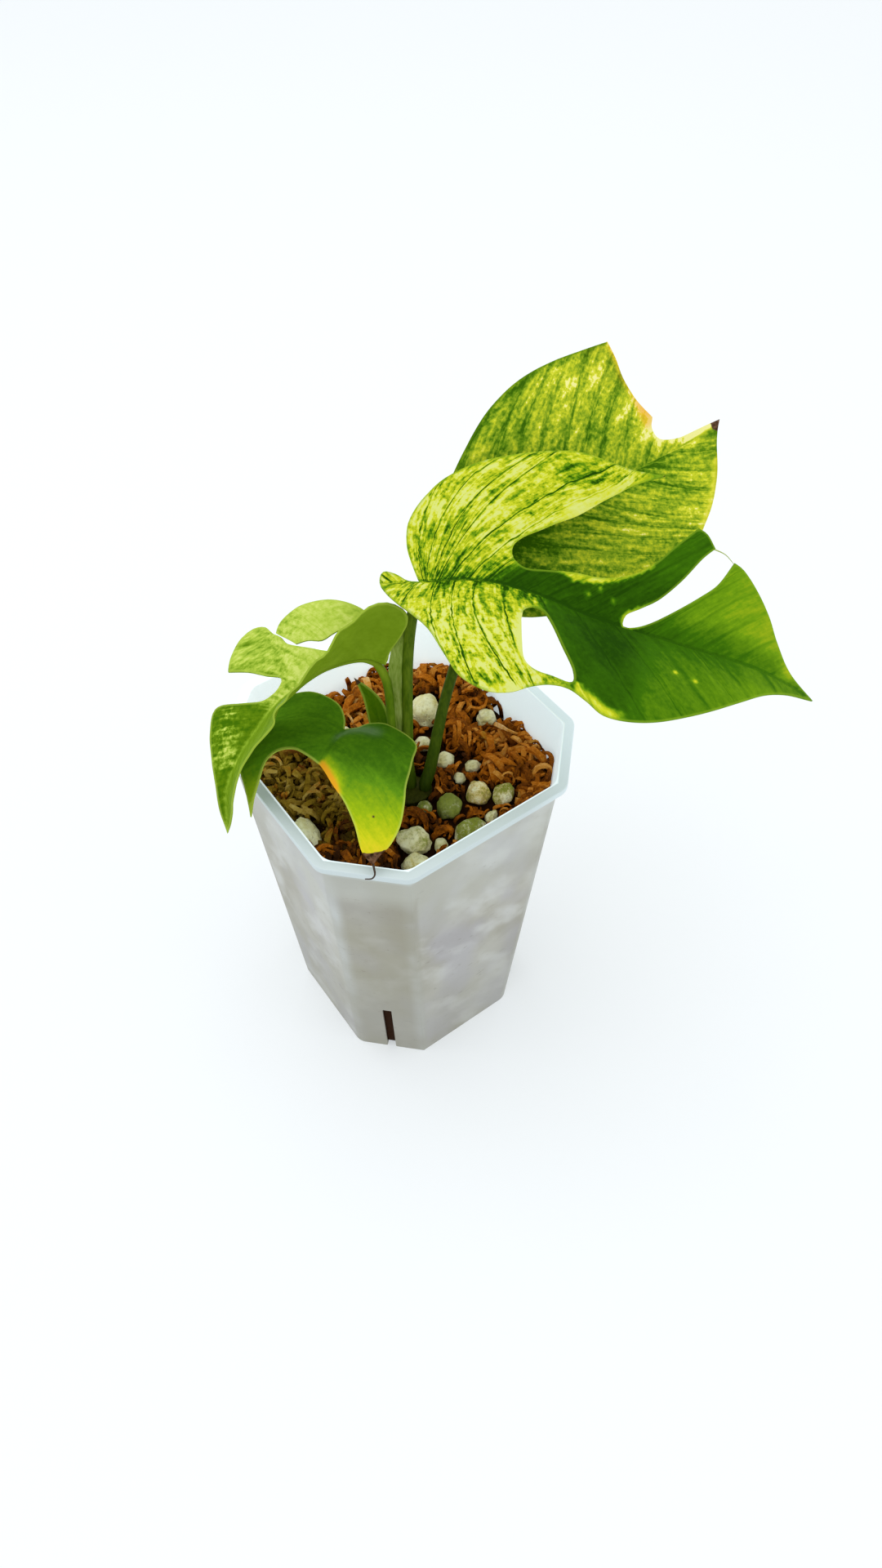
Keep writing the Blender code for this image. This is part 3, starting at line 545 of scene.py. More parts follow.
class Paint:
    """A material: one Principled shader with fixed values, and the nodes that feed it."""

    def __init__(self, name, **fixed):
        self.material = bpy.data.materials.new(name)
        self.material.use_nodes = True
        self.tree = self.material.node_tree
        self.shader = self.tree.nodes["Principled BSDF"]
        for socket, value in fixed.items():
            self.shader.inputs[socket.replace("_", " ")].default_value = value

    def node(self, kind, settings=None, inputs=None, output=0):
        """A node with its settings made first, then its sockets' values or links."""
        node = self.tree.nodes.new(kind)
        for name, value in (settings or {}).items():
            if name == "stops":
                ramp = node.color_ramp
                while len(ramp.elements) < len(value):
                    ramp.elements.new(1.0)
                for element, (place, *shade) in zip(ramp.elements, value):
                    element.position = place
                    element.color = colour(*shade)
            else:
                setattr(node, name, value)
        for name, value in (inputs or {}).items():
            if isinstance(value, Signal):
                self.tree.links.new(value.socket, node.inputs[name])
            else:
                node.inputs[name].default_value = value
        return Signal(self, node.outputs[output])

    def number(self, name):
        return self.node("ShaderNodeAttribute", {"attribute_name": name}, output=2)

    def place(self):
        """The place on the object, in millimetres."""
        where = self.node("ShaderNodeTexCoord", output=3)
        return self.node("ShaderNodeVectorMath", {"operation": "SCALE"}, {0: where, 3: 1.0 / MM})

    def split(self, vector):
        node = self.tree.nodes.new("ShaderNodeSeparateXYZ")
        self.tree.links.new(vector.socket, node.inputs[0])
        return [Signal(self, socket) for socket in node.outputs]

    def map(self, name):
        """The two numbers of a UV map, at full size again."""
        first, second, _ = self.split(self.node("ShaderNodeUVMap", {"uv_map": name}))
        return first * 100.0, second * 100.0

    def noise(self, vector, scale=1.0, detail=2.0, roughness=0.5, distortion=0.0):
        """Noise at a vector, which may be given as three values."""
        if isinstance(vector, tuple):
            vector = self.node("ShaderNodeCombineXYZ", None, dict(enumerate(vector)))
        return self.node("ShaderNodeTexNoise", None,
                         {"Vector": vector, "Scale": scale, "Detail": detail, "Roughness": roughness,
                          "Distortion": distortion})

    def cells(self, vector, scale):
        return self.node("ShaderNodeTexVoronoi", None, {"Vector": vector, "Scale": scale})

    def ramp(self, value, *stops):
        """A colour ramp; each stop is a place and a screen colour."""
        return self.node("ShaderNodeValToRGB", {"stops": stops}, {0: value})

    def mix(self, share, first, second):
        return self.node("ShaderNodeMix", {"data_type": "RGBA"}, {0: share, 6: first, 7: second}, output=2)

    def coats(self, base, *coats):
        """Lays colours over the base, each with how far it covers and a screen colour or a signal."""
        for share, over in coats:
            base = self.mix(share, base, over if isinstance(over, Signal) else colour(*over))
        return base

    def feed(self, relief, distance, strength, **signals):
        """Links the shader's sockets, and its normal to a relief of 0 to 1, so many metres deep."""
        bump = self.node("ShaderNodeBump", None,
                         {"Height": relief, "Distance": distance, "Strength": strength})
        for socket, signal in signals.items():
            self.tree.links.new(signal.socket, self.shader.inputs[socket.replace("_", " ")])
        self.tree.links.new(bump.socket, self.shader.inputs["Normal"])
        return self.material


# Leaves


class Leaf:
    """The surface of one leaf, the flat outline that it carries and the run of its side veins.

    midrib: points of the midrib in the plant's axes; left, right: stops (u, degrees) of how far each
    half is folded up; curl: how fast each half bends down away from the midrib; sag: stops (u, mm) by
    which the outer part of the right half hangs lower; roll: degrees that the blade leans over;
    outline: stretches of the margin, each smooth and meeting the next at a corner; holes: closed
    smooth loops; petiole: its points from the crown up; rib: how much of the midrib stands out below
    the blade; thick: radius of the petiole; veins: for each half, stops (number, start, slope, bend)
    of the side vein with that number, which leaves the midrib at its start.
    """

    def __init__(self, midrib, left, right, curl, outline, petiole, veins, holes=(), sag=((0, 0), (1, 0)),
                 roll=0.0, rib=0.7, thick=1.3):
        self.left, self.right, self.curl, self.sag = left, right, curl, sag
        self.outline, self.holes, self.petiole, self.veins = outline, holes, petiole, veins
        self.roll, self.rib, self.thick = math.radians(roll), rib, thick
        self.path = smooth_path(midrib, 1.0)
        self.runs = runs_of(self.path)
        self.length = self.runs[-1]
        self.along = unit(np.gradient(self.path, self.runs, axis=0))
        self.along[0], self.along[-1] = self.along[1], self.along[-2]

    def frame(self, u):
        """Point, left direction and upper normal at u on the midrib, straight on past both ends."""
        u = np.asarray(u, float)
        kept = np.clip(u, 0.0, self.length)
        along = unit(at_runs(self.along, self.runs, kept))
        point = at_runs(self.path, self.runs, kept) + along * (u - kept)[..., None]
        level = unit(np.cross((0.0, 0.0, 1.0), along))
        upper = np.cross(along, level)
        c, s = math.cos(self.roll), math.sin(self.roll)
        return point, level * c + upper * s, upper * c - level * s

    def place(self, u, v):
        """Where the flat point (u, v) lies on the leaf."""
        point, side, upper = self.frame(u)
        upon = v >= 0.0
        fold = np.radians(np.where(upon, between(self.left, u), between(self.right, u)))
        width = np.abs(v)
        lift = np.sin(fold) * (np.hypot(width, FOLD_SOFTNESS) - FOLD_SOFTNESS)
        lift = lift - np.where(upon, *self.curl) * width * width
        lift = lift - np.where(upon, 0.0, between(self.sag, u) * np.minimum(1.0, width / SAG_REACH))
        return point + side * (v * np.cos(fold))[..., None] + upper * lift[..., None]

    def normal(self, u, v):
        """Upper normal of the blade at (u, v)."""
        reach = 0.4
        ahead = self.place(u + reach, v) - self.place(u - reach, v)
        across = self.place(u, v + reach) - self.place(u, v - reach)
        return unit(np.cross(ahead, across))

    def loops(self, step):
        """The margin and the holes as closed loops with a point about every step."""
        loops = [np.vstack([smooth_path(stretch, step)[:-1] for stretch in self.outline])]
        return loops + [smooth_path(hole + hole[:1], step)[:-1] for hole in self.holes]

    def vein(self, u, v):
        """Number of the side vein through (u, v), with parts of one between two veins."""
        width = np.abs(v)
        low, high = np.full(len(u), VEIN_STRETCH[0]), np.full(len(u), VEIN_STRETCH[1])
        for _ in range(HALVINGS):
            number = 0.5 * (low + high)
            end = 0.0
            for power in range(3):
                left, right = ([(stop[0], stop[power + 1]) for stop in half] for half in self.veins)
                end = end + np.where(v >= 0.0, between(left, number), between(right, number)) * width ** power
            low, high = np.where(end < u, number, low), np.where(end < u, high, number)
        return number


def make_blade(name, leaf, find_marks, paint, node):
    """The blade: filled on a fine lattice, quilted between its side veins and grooved at its midrib."""
    loops = leaf.loops(SHEET_CELL)
    flat, faces = flat_sheet(loops, SHEET_CELL)
    u, v = flat.T
    number = leaf.vein(u, v)
    edge = distance_to(flat, loops)
    between_veins = 0.5 - 0.5 * np.cos(2.0 * math.pi * number)
    relief = QUILT * between_veins * rise(np.abs(v), 1.0, 6.0) * rise(edge, 0.0, 3.0)
    relief -= GROOVE * bell(v, GROOVE_WIDTH) * fall(u, 0.7 * leaf.length, leaf.length)
    blade = new_piece(name, leaf.place(u, v) + leaf.normal(u, v) * relief[:, None], faces.tolist())
    put_map(blade, "Pressed", flat)
    put_map(blade, "Veins", np.stack([number, v], -1))
    put_numbers(blade, edge=edge, **{"gold": 0.0, "dry": 0.0, **find_marks(u, v, number, edge)})
    modify(blade, "SOLIDIFY", thickness=LEAF_THICKNESS * MM, offset=0.0)
    put_numbers(blade, under=np.arange(len(blade.data.vertices)) >= len(flat))
    finish(blade, paint, node, angle=60.0)


def make_petiole(name, leaf, paint, node):
    """The petiole with its rooted end, and the rib that carries it on below the blade."""
    reach = leaf.length * leaf.rib
    u = np.linspace(0.0, reach, RIB_STEPS)
    point, _, upper = leaf.frame(u)
    rib_radii = RIB_SHARE + (1.0 - RIB_SHARE) * np.exp(-u / RIB_EASE)
    rib_radii *= leaf.thick * (1.0 - RIB_TAPER * u / reach)
    rib = point - upper * (rib_radii + RIB_DEPTH)[:, None]
    foot = np.array(leaf.petiole[0], float)
    knots = [foot + (0.0, 0.0, ROOT_RISE)] + list(leaf.petiole[1:])
    knots += [rib[0] - JOINT_DROP * upper[0], rib[RIB_JOIN]]
    stem = np.vstack([[foot], smooth_path(knots, 1.0)])
    t = np.linspace(0.0, 1.0, len(stem))
    radii = leaf.thick * (1.0 + FOOT_SWELL - FOOT_SWELL * np.minimum(1.0, 2.5 * t))
    left_over = np.arange(len(stem))[::-1] / np.linalg.norm(rib[RIB_JOIN] - rib[0])
    radii = np.minimum(radii, rib_radii[RIB_JOIN] + (rib_radii[0] - rib_radii[RIB_JOIN]) * left_over)
    beyond = slice(RIB_JOIN + 1, None)
    piece = stalk(name, np.vstack([stem, rib[beyond]]), np.append(radii, rib_radii[beyond]), PETIOLE_SIDES)
    put_numbers(piece, rib=rise(places_of(piece)[:, 2] - rib[0][2], *RIB_BACKLIGHT))
    finish(piece, paint, node)


FRONT_LEAF = Leaf(
    midrib=((6, 5, 151.5), (19, 1.8, 154), (31, -1.2, 152), (43, -4.2, 147.5), (60, -8.4, 143),
            (76, -12.5, 139), (85, -14.7, 135), (92.5, -16.5, 130)),
    roll=10,
    left=((-20, 18), (0, 22), (50, 22), (95, 10)),
    right=((-20, 8), (0, 20), (50, 16), (95, 8)),
    curl=(0.002, 0.006),
    outline=(
        ((0, 0), (-1.5, 3.5), (-3, 7.5), (-3.5, 11.5), (-3, 15), (-0.5, 19.5), (3.5, 23.5), (9, 26.8),
         (15, 30), (20.5, 33), (26, 35.3), (32, 36.2), (39, 36.7), (47.4, 38)),
        ((47.4, 38), (40.5, 33), (34, 27), (29, 20), (24.5, 15.3), (20.5, 11.6), (19, 9), (19.6, 6.4),
         (22.5, 5), (27, 6), (33, 8), (40, 9.5), (46, 12.5), (50, 16.5), (53.5, 22), (57.5, 28)),
        ((57.5, 28), (60, 27.2), (62.5, 24.5)),
        ((62.5, 24.5), (60, 20.8), (56.5, 14), (53, 8.7), (49.5, 5.4), (46.6, 2.8), (46.6, 0), (49, 0.6),
         (52, 2.5), (56, 6.2), (61.5, 12), (65, 16.5), (67.5, 22.8)),
        ((67.5, 22.8), (70, 21.8), (73.5, 18.5), (77.5, 13.5), (81, 8), (86, 2.8), (93.5, 0)),
        ((93.5, 0), (86, -3), (80, -6.5), (74, -11.5), (68.5, -16), (63, -20), (56.5, -24), (50.5, -26.2),
         (45, -26.6), (41, -24.6), (37, -23.2), (33, -24.2), (29, -26.8), (25, -30), (20, -31.5),
         (14, -29.5), (9.7, -23.8), (5.5, -17), (1.5, -12.5), (-3, -8), (-7, -3.2), (-9, 0.3), (-8.3, 2.8),
         (-5.5, 2.2), (-2.5, 0.4), (0, 0)),
    ),
    holes=([(24, -10), (25, -16), (26.3, -20.8), (29, -22.4), (33, -22), (37.2, -21.4), (37, -18),
            (33.6, -12.6), (30.5, -7.5), (28.3, -4.9), (26, -4.7), (24.2, -6.6)],),
    petiole=((2.3, -4.9, 93.9), (1.9, -4.2, 103), (2.3, -2.6, 116), (2.9, 0.3, 132), (4.3, 3, 143)),
    rib=0.72,
    veins=(((-3, -8, -1.6, 0.05), (0, 0.2, -0.9, 0.035), (1, 1.2, -0.35, 0.0192), (2, 1.8, -0.03, 0.0154),
            (3, 3, 0.28, 0.007), (4, 4.2, 0.5, 0.001), (5, 7, 0.66, 0.002), (6, 11, 0.7, 0.002),
            (7, 15, 0.75, 0), (9, 24, 0.85, 0), (11, 33, 0.95, 0), (14, 50, 0.9, 0), (22, 95, 0.9, 0)),
           ((-2, -12, -1.4, 0.02), (0, 0, -0.4, 0.02), (1, 4.4, -0.1, 0.0137), (2, 8.3, 0, 0.0095),
            (3, 13.5, -0.2, 0.023), (4, 19, 0, 0.015), (5, 27, 0.4, 0.008), (6, 35, 0.75, 0),
            (7, 44, 0.85, 0), (9, 62, 0.9, 0), (13, 95, 1, 0))),
)

BACK_LEAF = Leaf(
    midrib=((21.2, 15, 146.8), (30.4, 20, 151), (42.2, 26.2, 154), (58.8, 35, 156), (71.2, 41.6, 158),
            (78.9, 45.7, 161.5)),
    roll=38,
    left=((0, 6), (80, 6)),
    right=((0, 10), (80, 10)),
    curl=(0.001, 0.003),
    outline=(
        ((0, 0), (-2.5, 2), (-4.8, 5.5), (-4.5, 10.5), (-1.2, 14.8), (3, 17.8), (7.5, 20.5), (13.6, 24.6),
         (19.4, 27.7), (27, 30), (35, 30.6), (43, 30.2), (51, 29.4)),
        ((51, 29.4), (51, 25), (50.5, 20.6), (51.2, 14.8), (53.2, 9.5)),
        ((53.2, 9.5), (51.8, 7.4), (52.4, 4.4), (56.4, 2.6), (62, 1.6), (68, 0)),
        ((68, 0), (66, -1.8), (63.3, -4.8), (59.5, -10.4), (55.6, -15.2), (51.5, -18.7), (46.8, -22),
         (39.4, -25.1), (30.2, -26.5), (20, -25.6), (11.4, -22.5), (4, -18.4), (-1.4, -14), (-5.4, -9),
         (-6, -4.6), (-3.6, -1.4), (0, 0)),
    ),
    petiole=((6, -6, 93.9), (7.4, -4.5, 99.5), (9.2, -2, 108), (11.1, 1, 116), (13.7, 5, 123.5),
             (17.6, 10, 134.5)),
    rib=0.6,
    veins=(((-2, -8, -1.2, 0.03), (0, -1, -0.6, 0.03), (1, 2, -0.2, 0.028), (2, 6, 0.03, 0.026),
            (3, 11.5, 0.18, 0.02), (4, 17, 0.32, 0.0143), (5, 22, 0.5, 0.01), (6, 27, 0.5, 0.015),
            (7, 32, 0.5, 0.02), (8, 38, 0.7, 0.01), (9, 46, 0.9, 0), (12, 70, 1, 0)),
           ((-2, -10, -1.2, 0.03), (0, 0, -0.4, 0.03), (1, 5, 0.3, 0.03), (2, 10, 0.8, 0.03),
            (3, 15, 1.1, 0.026), (4, 22, 1, 0.026), (5, 29, 0.85, 0.026), (6, 35, 1.1, 0.02),
            (7, 40, 1.4, 0), (8, 47, 1.5, 0), (9, 55, 1.6, 0), (11, 70, 1.6, 0))),
)

LEFT_LEAF = Leaf(
    midrib=((-2, 0, 132), (-7.6, -1, 135.3), (-15.5, -3, 134.7), (-21.7, -4.5, 131.2), (-27.5, -6.5, 127.5),
            (-33, -11, 122.7), (-37.4, -15.5, 118.2), (-40, -20, 113), (-41, -24, 103)),
    left=((0, 92), (5, 92), (10, 71), (14, 56), (18, 45), (25, 42), (40, 50), (50, 56), (60, 62)),
    right=((-20, 35), (0, 20), (15, 14), (30, 5), (65, 0)),
    curl=(0.0, 0.006),
    outline=(
        ((0, 0), (0.6, 3), (1.1, 6), (1.2, 10.5), (2.4, 14.5), (4.8, 17.2), (10, 18), (20, 17.5), (30, 16),
         (40, 13), (50, 8.5), (58, 4), (64, 0)),
        ((64, 0), (58.8, -1.4), (52.3, -2.8), (47.5, -5.8), (43.7, -9.6), (40, -12.5), (37.4, -11.7),
         (34.2, -7.2), (31.4, -3.4), (29.2, -2.4), (27.2, -2.6), (25.6, -4.5), (27.9, -8), (29.7, -12.5),
         (31.7, -16.7)),
        ((31.7, -16.7), (29.7, -21.1), (28.3, -24.1), (26.8, -25.1), (25.2, -23), (24, -19), (22.2, -15.9),
         (20.9, -11.9), (16.9, -7.2), (13.2, -4), (10, -2.8), (7, -3.6), (6.2, -6.4), (7.7, -8.8),
         (10.5, -8.2), (13.6, -7.4), (16.5, -9.2), (19.4, -10.5)),
        ((19.4, -10.5), (21, -14), (23, -18)),
        ((23, -18), (21, -20), (18.5, -20.5), (13.4, -19.9), (8.7, -18.2), (4.8, -14.5), (1, -10),
         (-0.8, -5.5), (-0.8, -2), (0, 0)),
    ),
    petiole=((-1.6, -4.4, 93.9), (-1.6, -4.4, 104), (-1.6, -3.4, 115), (-1.9, -1.4, 125.5)),
    rib=0.5,
    thick=1.05,
    veins=(((-2, -8, -0.4, 0.02), (3, 10, 0.2, 0.01), (8, 30, 0.6, 0.01), (16, 64, 0.8, 0)),) * 2,
)

LOW_LEAF = Leaf(
    midrib=((-12.4, -8.4, 120), (-15, -14, 121.8), (-18, -20, 121.3), (-21, -27, 118), (-24, -34, 113)),
    left=((-20, 10), (40, 8)),
    right=((-20, 10), (40, 8)),
    curl=(0.012, 0.014),
    sag=((8, 0), (28, 3.5)),
    outline=(
        ((0, 0), (-1.2, 2.4), (-4, 4), (-6, 7), (-5.8, 10), (-4.6, 14.5), (-2.6, 17.3), (2.5, 18.4),
         (8, 19.7), (15.7, 21.1), (21.7, 21.7), (26.4, 20.8), (28.5, 19.6), (31.6, 18.4)),
        ((31.6, 18.4), (29.3, 15.3), (24.2, 12.2), (20, 8.5), (17.2, 4.9), (14.7, 2), (13.2, 0)),
        ((13.2, 0), (12.2, -3.4), (11.6, -7.2), (12.8, -10.8), (15.5, -12.9), (20, -13.3), (25, -13.6),
         (29, -13)),
        ((29, -13), (25.4, -15.3), (22.3, -17), (19, -19), (12, -22.5), (4, -24), (-4, -23.2), (-10, -20.5),
         (-12.6, -16.5), (-12, -12), (-8.8, -5.6), (-4, -1.8), (0, 0)),
    ),
    petiole=((-3.4, -7.6, 93.9), (-5.6, -8.2, 102), (-9.2, -8.7, 112)),
    rib=0.35,
    thick=1.1,
    veins=(((-2, -10, -1, 0.02), (0, 0, -0.2, 0.02), (2, 7, 0.2, 0.02), (5, 16, 0.5, 0.01),
            (9, 32, 0.6, 0)),) * 2,
)

SHEATH_LEAF = Leaf(
    midrib=((-3.4, -3, 93.9), (-3.5, -2, 102), (-4.7, 0.9, 110.3), (-6.6, 4, 116.3), (-10.5, 7.4, 121.5)),
    roll=-35,
    left=((0, 24), (30, 10)),
    right=((0, 24), (30, 10)),
    curl=(0.0, 0.0),
    outline=(
        ((0, 1.1), (6, 2), (14, 2.4), (21, 2), (26, 1), (30.6, 0)),
        ((30.6, 0), (26, -1.6), (21, -3), (14, -3.1), (6, -2.4), (0, -1.1)),
        ((0, -1.1), (0, 1.1)),
    ),
    petiole=(),
    veins=(((-3, -30, 6, 0), (10, 32, 6, 0)),) * 2,
)


def front_marks(u, v, number, edge):
    """How pale and how mottled the front leaf is, and where it is dry.

    lobe: the first lobe of each half, with the strip along the hole; end: the terminal lobe; tail: the
    pale inner edge of the first lobe; seam: the hole's near edge; patch: the pale edge of the second
    lobe; hem: the pale margin past the hole.
    """
    left = v >= 0.0
    strip = (v < -21.5) * fall(u, 35.0, 38.5)
    beyond = rise(u - 2.5 * rise(-v, 5.0, 9.0), 25.0, 29.5)
    lobe = np.where(left, fall(number, 6.6, 8.2), np.maximum(1.0 - beyond, strip))
    end = (1.0 - lobe) * rise(u - 0.65 * np.maximum(v, 0.0), 46.0, 57.0)
    tail = lobe * (v > 14.0) * (v < 11.0 + 0.59 * u) * fall(edge, 1.2, 4.0) * rise(u, 23.0, 29.0)
    seam = (v < -8.0) * rise(u, 19.5, 21.5) * fall(u, 26.5, 29.0) * fall(edge, 0.8, 2.2)
    patch = left * (v < 16.0) * rise(u - 1.8 * edge, 29.0, 29.8)
    patch *= fall(edge - 2.2 * (1.0 - (u - 31.0) / 19.0), -0.3, 0.3)
    hem = (v < -20.5) * rise(u, 37.5, 38.5) * fall(u, 45.0, 51.0) * fall(edge, 1.2, 2.8)
    pale = 0.10 + 0.60 * lobe + spots(u, v, FRONT_SPOTS)
    pale += 0.24 * tail + 0.36 * seam + 0.70 * patch + 0.68 * hem
    pale += lobe * (0.07 * rise(-v, 8.0, 16.0) - 0.10 * rise(-v, 20.0, 28.0)
                    - 0.42 * bell(v, 3.2) * rise(u, 0.0, 8.0) - 0.22 * spot(u, v, 2.0, 0.0, 5.0))
    pale += end * (0.07 + 0.19 * rise(v, 1.0, 9.0) + 0.08 * rise(-v, 1.0, 9.0)
                   + 0.11 * rise(u - 0.2 * v, 60.0, 84.0))
    pale += (1.0 - end) * (0.12 * rise(v, 10.0, 18.0) * rise(u, 44.0, 54.0) - 0.04 * left * (1.0 - lobe))
    mottle = lobe * (1.0 - 0.8 * tail) * (1.0 - 0.6 * seam) * (1.0 + 0.3 * rise(-v, 8.0, 15.0))
    mottle = 0.12 + 0.88 * np.maximum(mottle, 0.3 * np.maximum(patch, hem))
    return {"pale": pale, "mottle": mottle, "dry": spot(u, v, 47.2, 37.9, 0.4)}


def back_marks(u, v, number, edge):
    """The same for the back leaf, which is golden along its torn end.

    cut: the left half's torn end; notch: round the bay beside it; corner: the tip; side: the right
    margin by the tip; shore: the left one; torn: the very edge of the cut.
    """
    narrow = 1.2 + 2.0 * fall(v, 11.0, 22.0)
    cut = fall(51.4 - u, 0.2 * narrow, 1.5 * narrow) * (v > 5.0)
    notch = fall(np.hypot(u - 57.0, 1.2 * (v - 3.5)), 3.5, 8.5)
    corner = bell(u - 64.5, 5.0) * bell(v - 0.8, 1.5)
    side = (v < -6.0) * rise(u, 42.0, 50.0) * fall(edge, 0.5, 1.8)
    shore = (v > -0.3) * rise(u, 50.5, 52.0) * fall(edge, 0.2, 1.7)
    torn = (u > 45.0) * rise(v, 9.0, 12.0) * fall(v, 28.0, 29.5) * fall(edge, 0.4, 2.0)
    pale = 0.58 + 0.34 * np.maximum(cut, notch) + 0.6 * corner + 0.3 * side + 0.4 * shore
    pale += (1.0 - cut) * (0.24 * torn - 0.22 * fall(edge, 0.4, 2.4) * (v > 10.0))
    pale -= 0.26 * bell(v + 1.0, 1.8) * (1.0 - np.maximum(corner, shore))
    pale += spots(u, v, BACK_SPOTS) - 0.07 * (v > 0.0) * fall(u, 12.0, 26.0)
    gold = 0.5 * cut ** 4 * rise(v, 6.0, 9.0) * (1.0 - 0.6 * rise(v, 11.0, 17.0)) + 0.2 * side + 0.17 * torn
    gold += 0.13 * rise(u, 34.0, 46.0) * rise(v, 12.0, 22.0)
    dry = fall(np.hypot(u - 67.5, v + 0.5), 1.6, 2.6)
    return {"pale": pale, "mottle": 1.0 - 0.8 * np.maximum(corner, side), "gold": gold, "dry": dry}


def left_marks(u, v, number, edge):
    """The same for the left leaf, flecked on its far, right half and plain on its near, left one."""
    near = rise(v, -0.5, 0.5)
    far = 1.0 - near
    low = rise(u, 29.0, 34.0)
    fleck = np.max([spot(u, v, *place) for place in LEFT_FLECKS], axis=0)
    pale = far * (0.74 - 0.60 * low + 0.36 * fleck + spots(u, v, LEFT_SPOTS))
    # On the near half, a paler spot of painted light, where a single layer of blade lets light through
    pale += near * (0.36 + 0.02 * low + 0.16 * spot(u, v, 14.0, 5.0, 3.5))
    # Pale line along the midrib: the midrib's own paler green, and a painted highlight on the fold's crest
    pale += 0.35 * bell(v, 0.5) * rise(u, 10.0, 20.0)
    mottle = (1.0 - low) * (0.2 + 0.25 * rise(u, 14.0, 24.0)) + low * (0.22 + 0.9 * fleck)
    return {"pale": pale, "mottle": 0.1 + far * mottle}


def low_marks(u, v, number, edge):
    """The same for the low leaf: its left half turns yellow, with a golden rim on the bay between the
    lobes, and a painted sheen lies along its fold."""
    left = rise(v, 1.0, 7.0)
    ripe = np.clip((u + 0.1 * v - 10.0) / 20.5, 0.0, 1.0) * left
    rim = rise(v, -1.0, 1.0) * fall(v, 4.5, 8.5) * (u > 9.0)
    pale = 0.22 + 0.72 * ripe + 0.04 * (1.0 - left) + 0.55 * rim * bell(edge, 3.0) + spots(u, v, LOW_SPOTS)
    gold = 1.3 * rim * bell(edge, 1.3) + 0.25 * rise(ripe, 0.75, 1.0)
    dry = rise((2.0 * u + v) / math.sqrt(5.0), 33.4, 34.0) + 0.8 * spot(u, v, 21.3, 15.5, 0.45)
    # Painted sheen: a dull reflection along the fold
    ridge = 5.5 * np.exp(-np.maximum(v, 0.0) / 1.5) - 1.2
    bloom = 0.45 * bell(u - ridge, 1.7) * rise(v, -1.0, 0.5) * fall(v, 6.5, 10.0)
    return {"pale": pale, "mottle": 0.12, "gold": gold, "dry": dry, "bloom": bloom}


def sheath_marks(u, v, number, edge):
    """The same for the sheath leaf, which is dry at its tip."""
    return {"pale": 0.12 + 0.12 * rise(v, -2.0, 2.0), "mottle": 0.15, "dry": rise(u, 28.0, 29.5)}


def leaf_paint(name, tones, hem, seed=0.0, vein=(0.3, 0.24), streak=(3.6, 0.2, 2.2), speckle=2.4,
               gloss=0.02):
    """Variegated blade: flecks that follow the side veins, over a tone from green to pale.

    tones: stops of the ramp; hem: screen colour of the margin; vein: how dark the side veins are
    drawn, and how wide; streak: how many to a vein, to a millimetre along it, and how strong;
    speckle: strength of the net.
    """
    paint = Paint(name, Specular_IOR_Level=gloss)
    number, w = paint.map("Veins")
    u, v = paint.map("Pressed")
    pale, mottle, gold, dry, edge, under, bloom = (
        paint.number(mark) for mark in ("pale", "mottle", "gold", "dry", "edge", "under", "bloom"))
    streaks = paint.noise((number * streak[0], w * streak[1], seed), detail=3.0, roughness=0.6,
                          distortion=0.3)
    net = paint.noise((u * 0.9, v * 0.9, seed + 5.0), detail=4.0, roughness=0.62)
    cloud = paint.noise((number * 1.1, w * 0.12, seed + 9.0), detail=2.0, roughness=0.6)
    line = number.wave(1.0).fade(0.0, vein[1]) * (net + 0.5)
    flecked = (streaks - 0.5) * streak[2] + (net - 0.5) * speckle + (cloud - 0.5) * 1.1 - line * vein[0]
    midrib = (w * w).fade(0.0, 0.5)
    tone = pale + flecked * mottle - midrib * (0.05 + mottle * 0.13)
    rot = paint.mix(net.step(0.3, 0.7), colour(38, 26, 18), colour(118, 88, 66))
    base = paint.coats(
        paint.ramp(tone, *tones),
        (edge.fade(0.2, 0.6) * pale.fade(0.8, 0.95) * 0.55, hem),
        ((gold + (net - 0.5) * 0.5 * gold).step(0.05, 0.9), (238, 168, 44)),
        # Painted sheen along the low leaf's fold
        (bloom * (streaks + 0.5), (132, 156, 126)),
        ((dry + (net - 0.5) * 0.5).step(0.3, 0.55), rot),
        # Undersides: their paler green, and painted light through the blade
        (under * 0.35, BACKLIT_GREEN))
    return paint.feed(net * 0.5 + streaks * 0.5, 0.00008, 0.5, Base_Color=base,
                      Roughness=0.38 + under * 0.2 + net * 0.1)


def green_paint(name, low, high):
    """Petioles: green with faint long streaks, painted shade low down by the crown, and painted light on
    the rib where the blade begins.
    """
    paint = Paint(name, Specular_IOR_Level=0.06)
    x, y, z = paint.split(paint.place())
    streaks = paint.noise((x * 1.2, y * 1.2, z * 0.15), detail=3.0, roughness=0.6)
    base = paint.coats(
        paint.ramp(streaks, (0.3, *low), (0.7, *high)),
        # Painted shade low on the stalk, by the crown
        (z.fade(92.0, 108.0) * 0.7, (30, 40, 4)),
        # Painted light on the rib below the blade, which faces down
        (paint.number("rib") * 0.6, BACKLIT_GREEN))
    return paint.feed(streaks, 0.0001, 0.5, Base_Color=base, Roughness=streaks * 0.1 + 0.5)


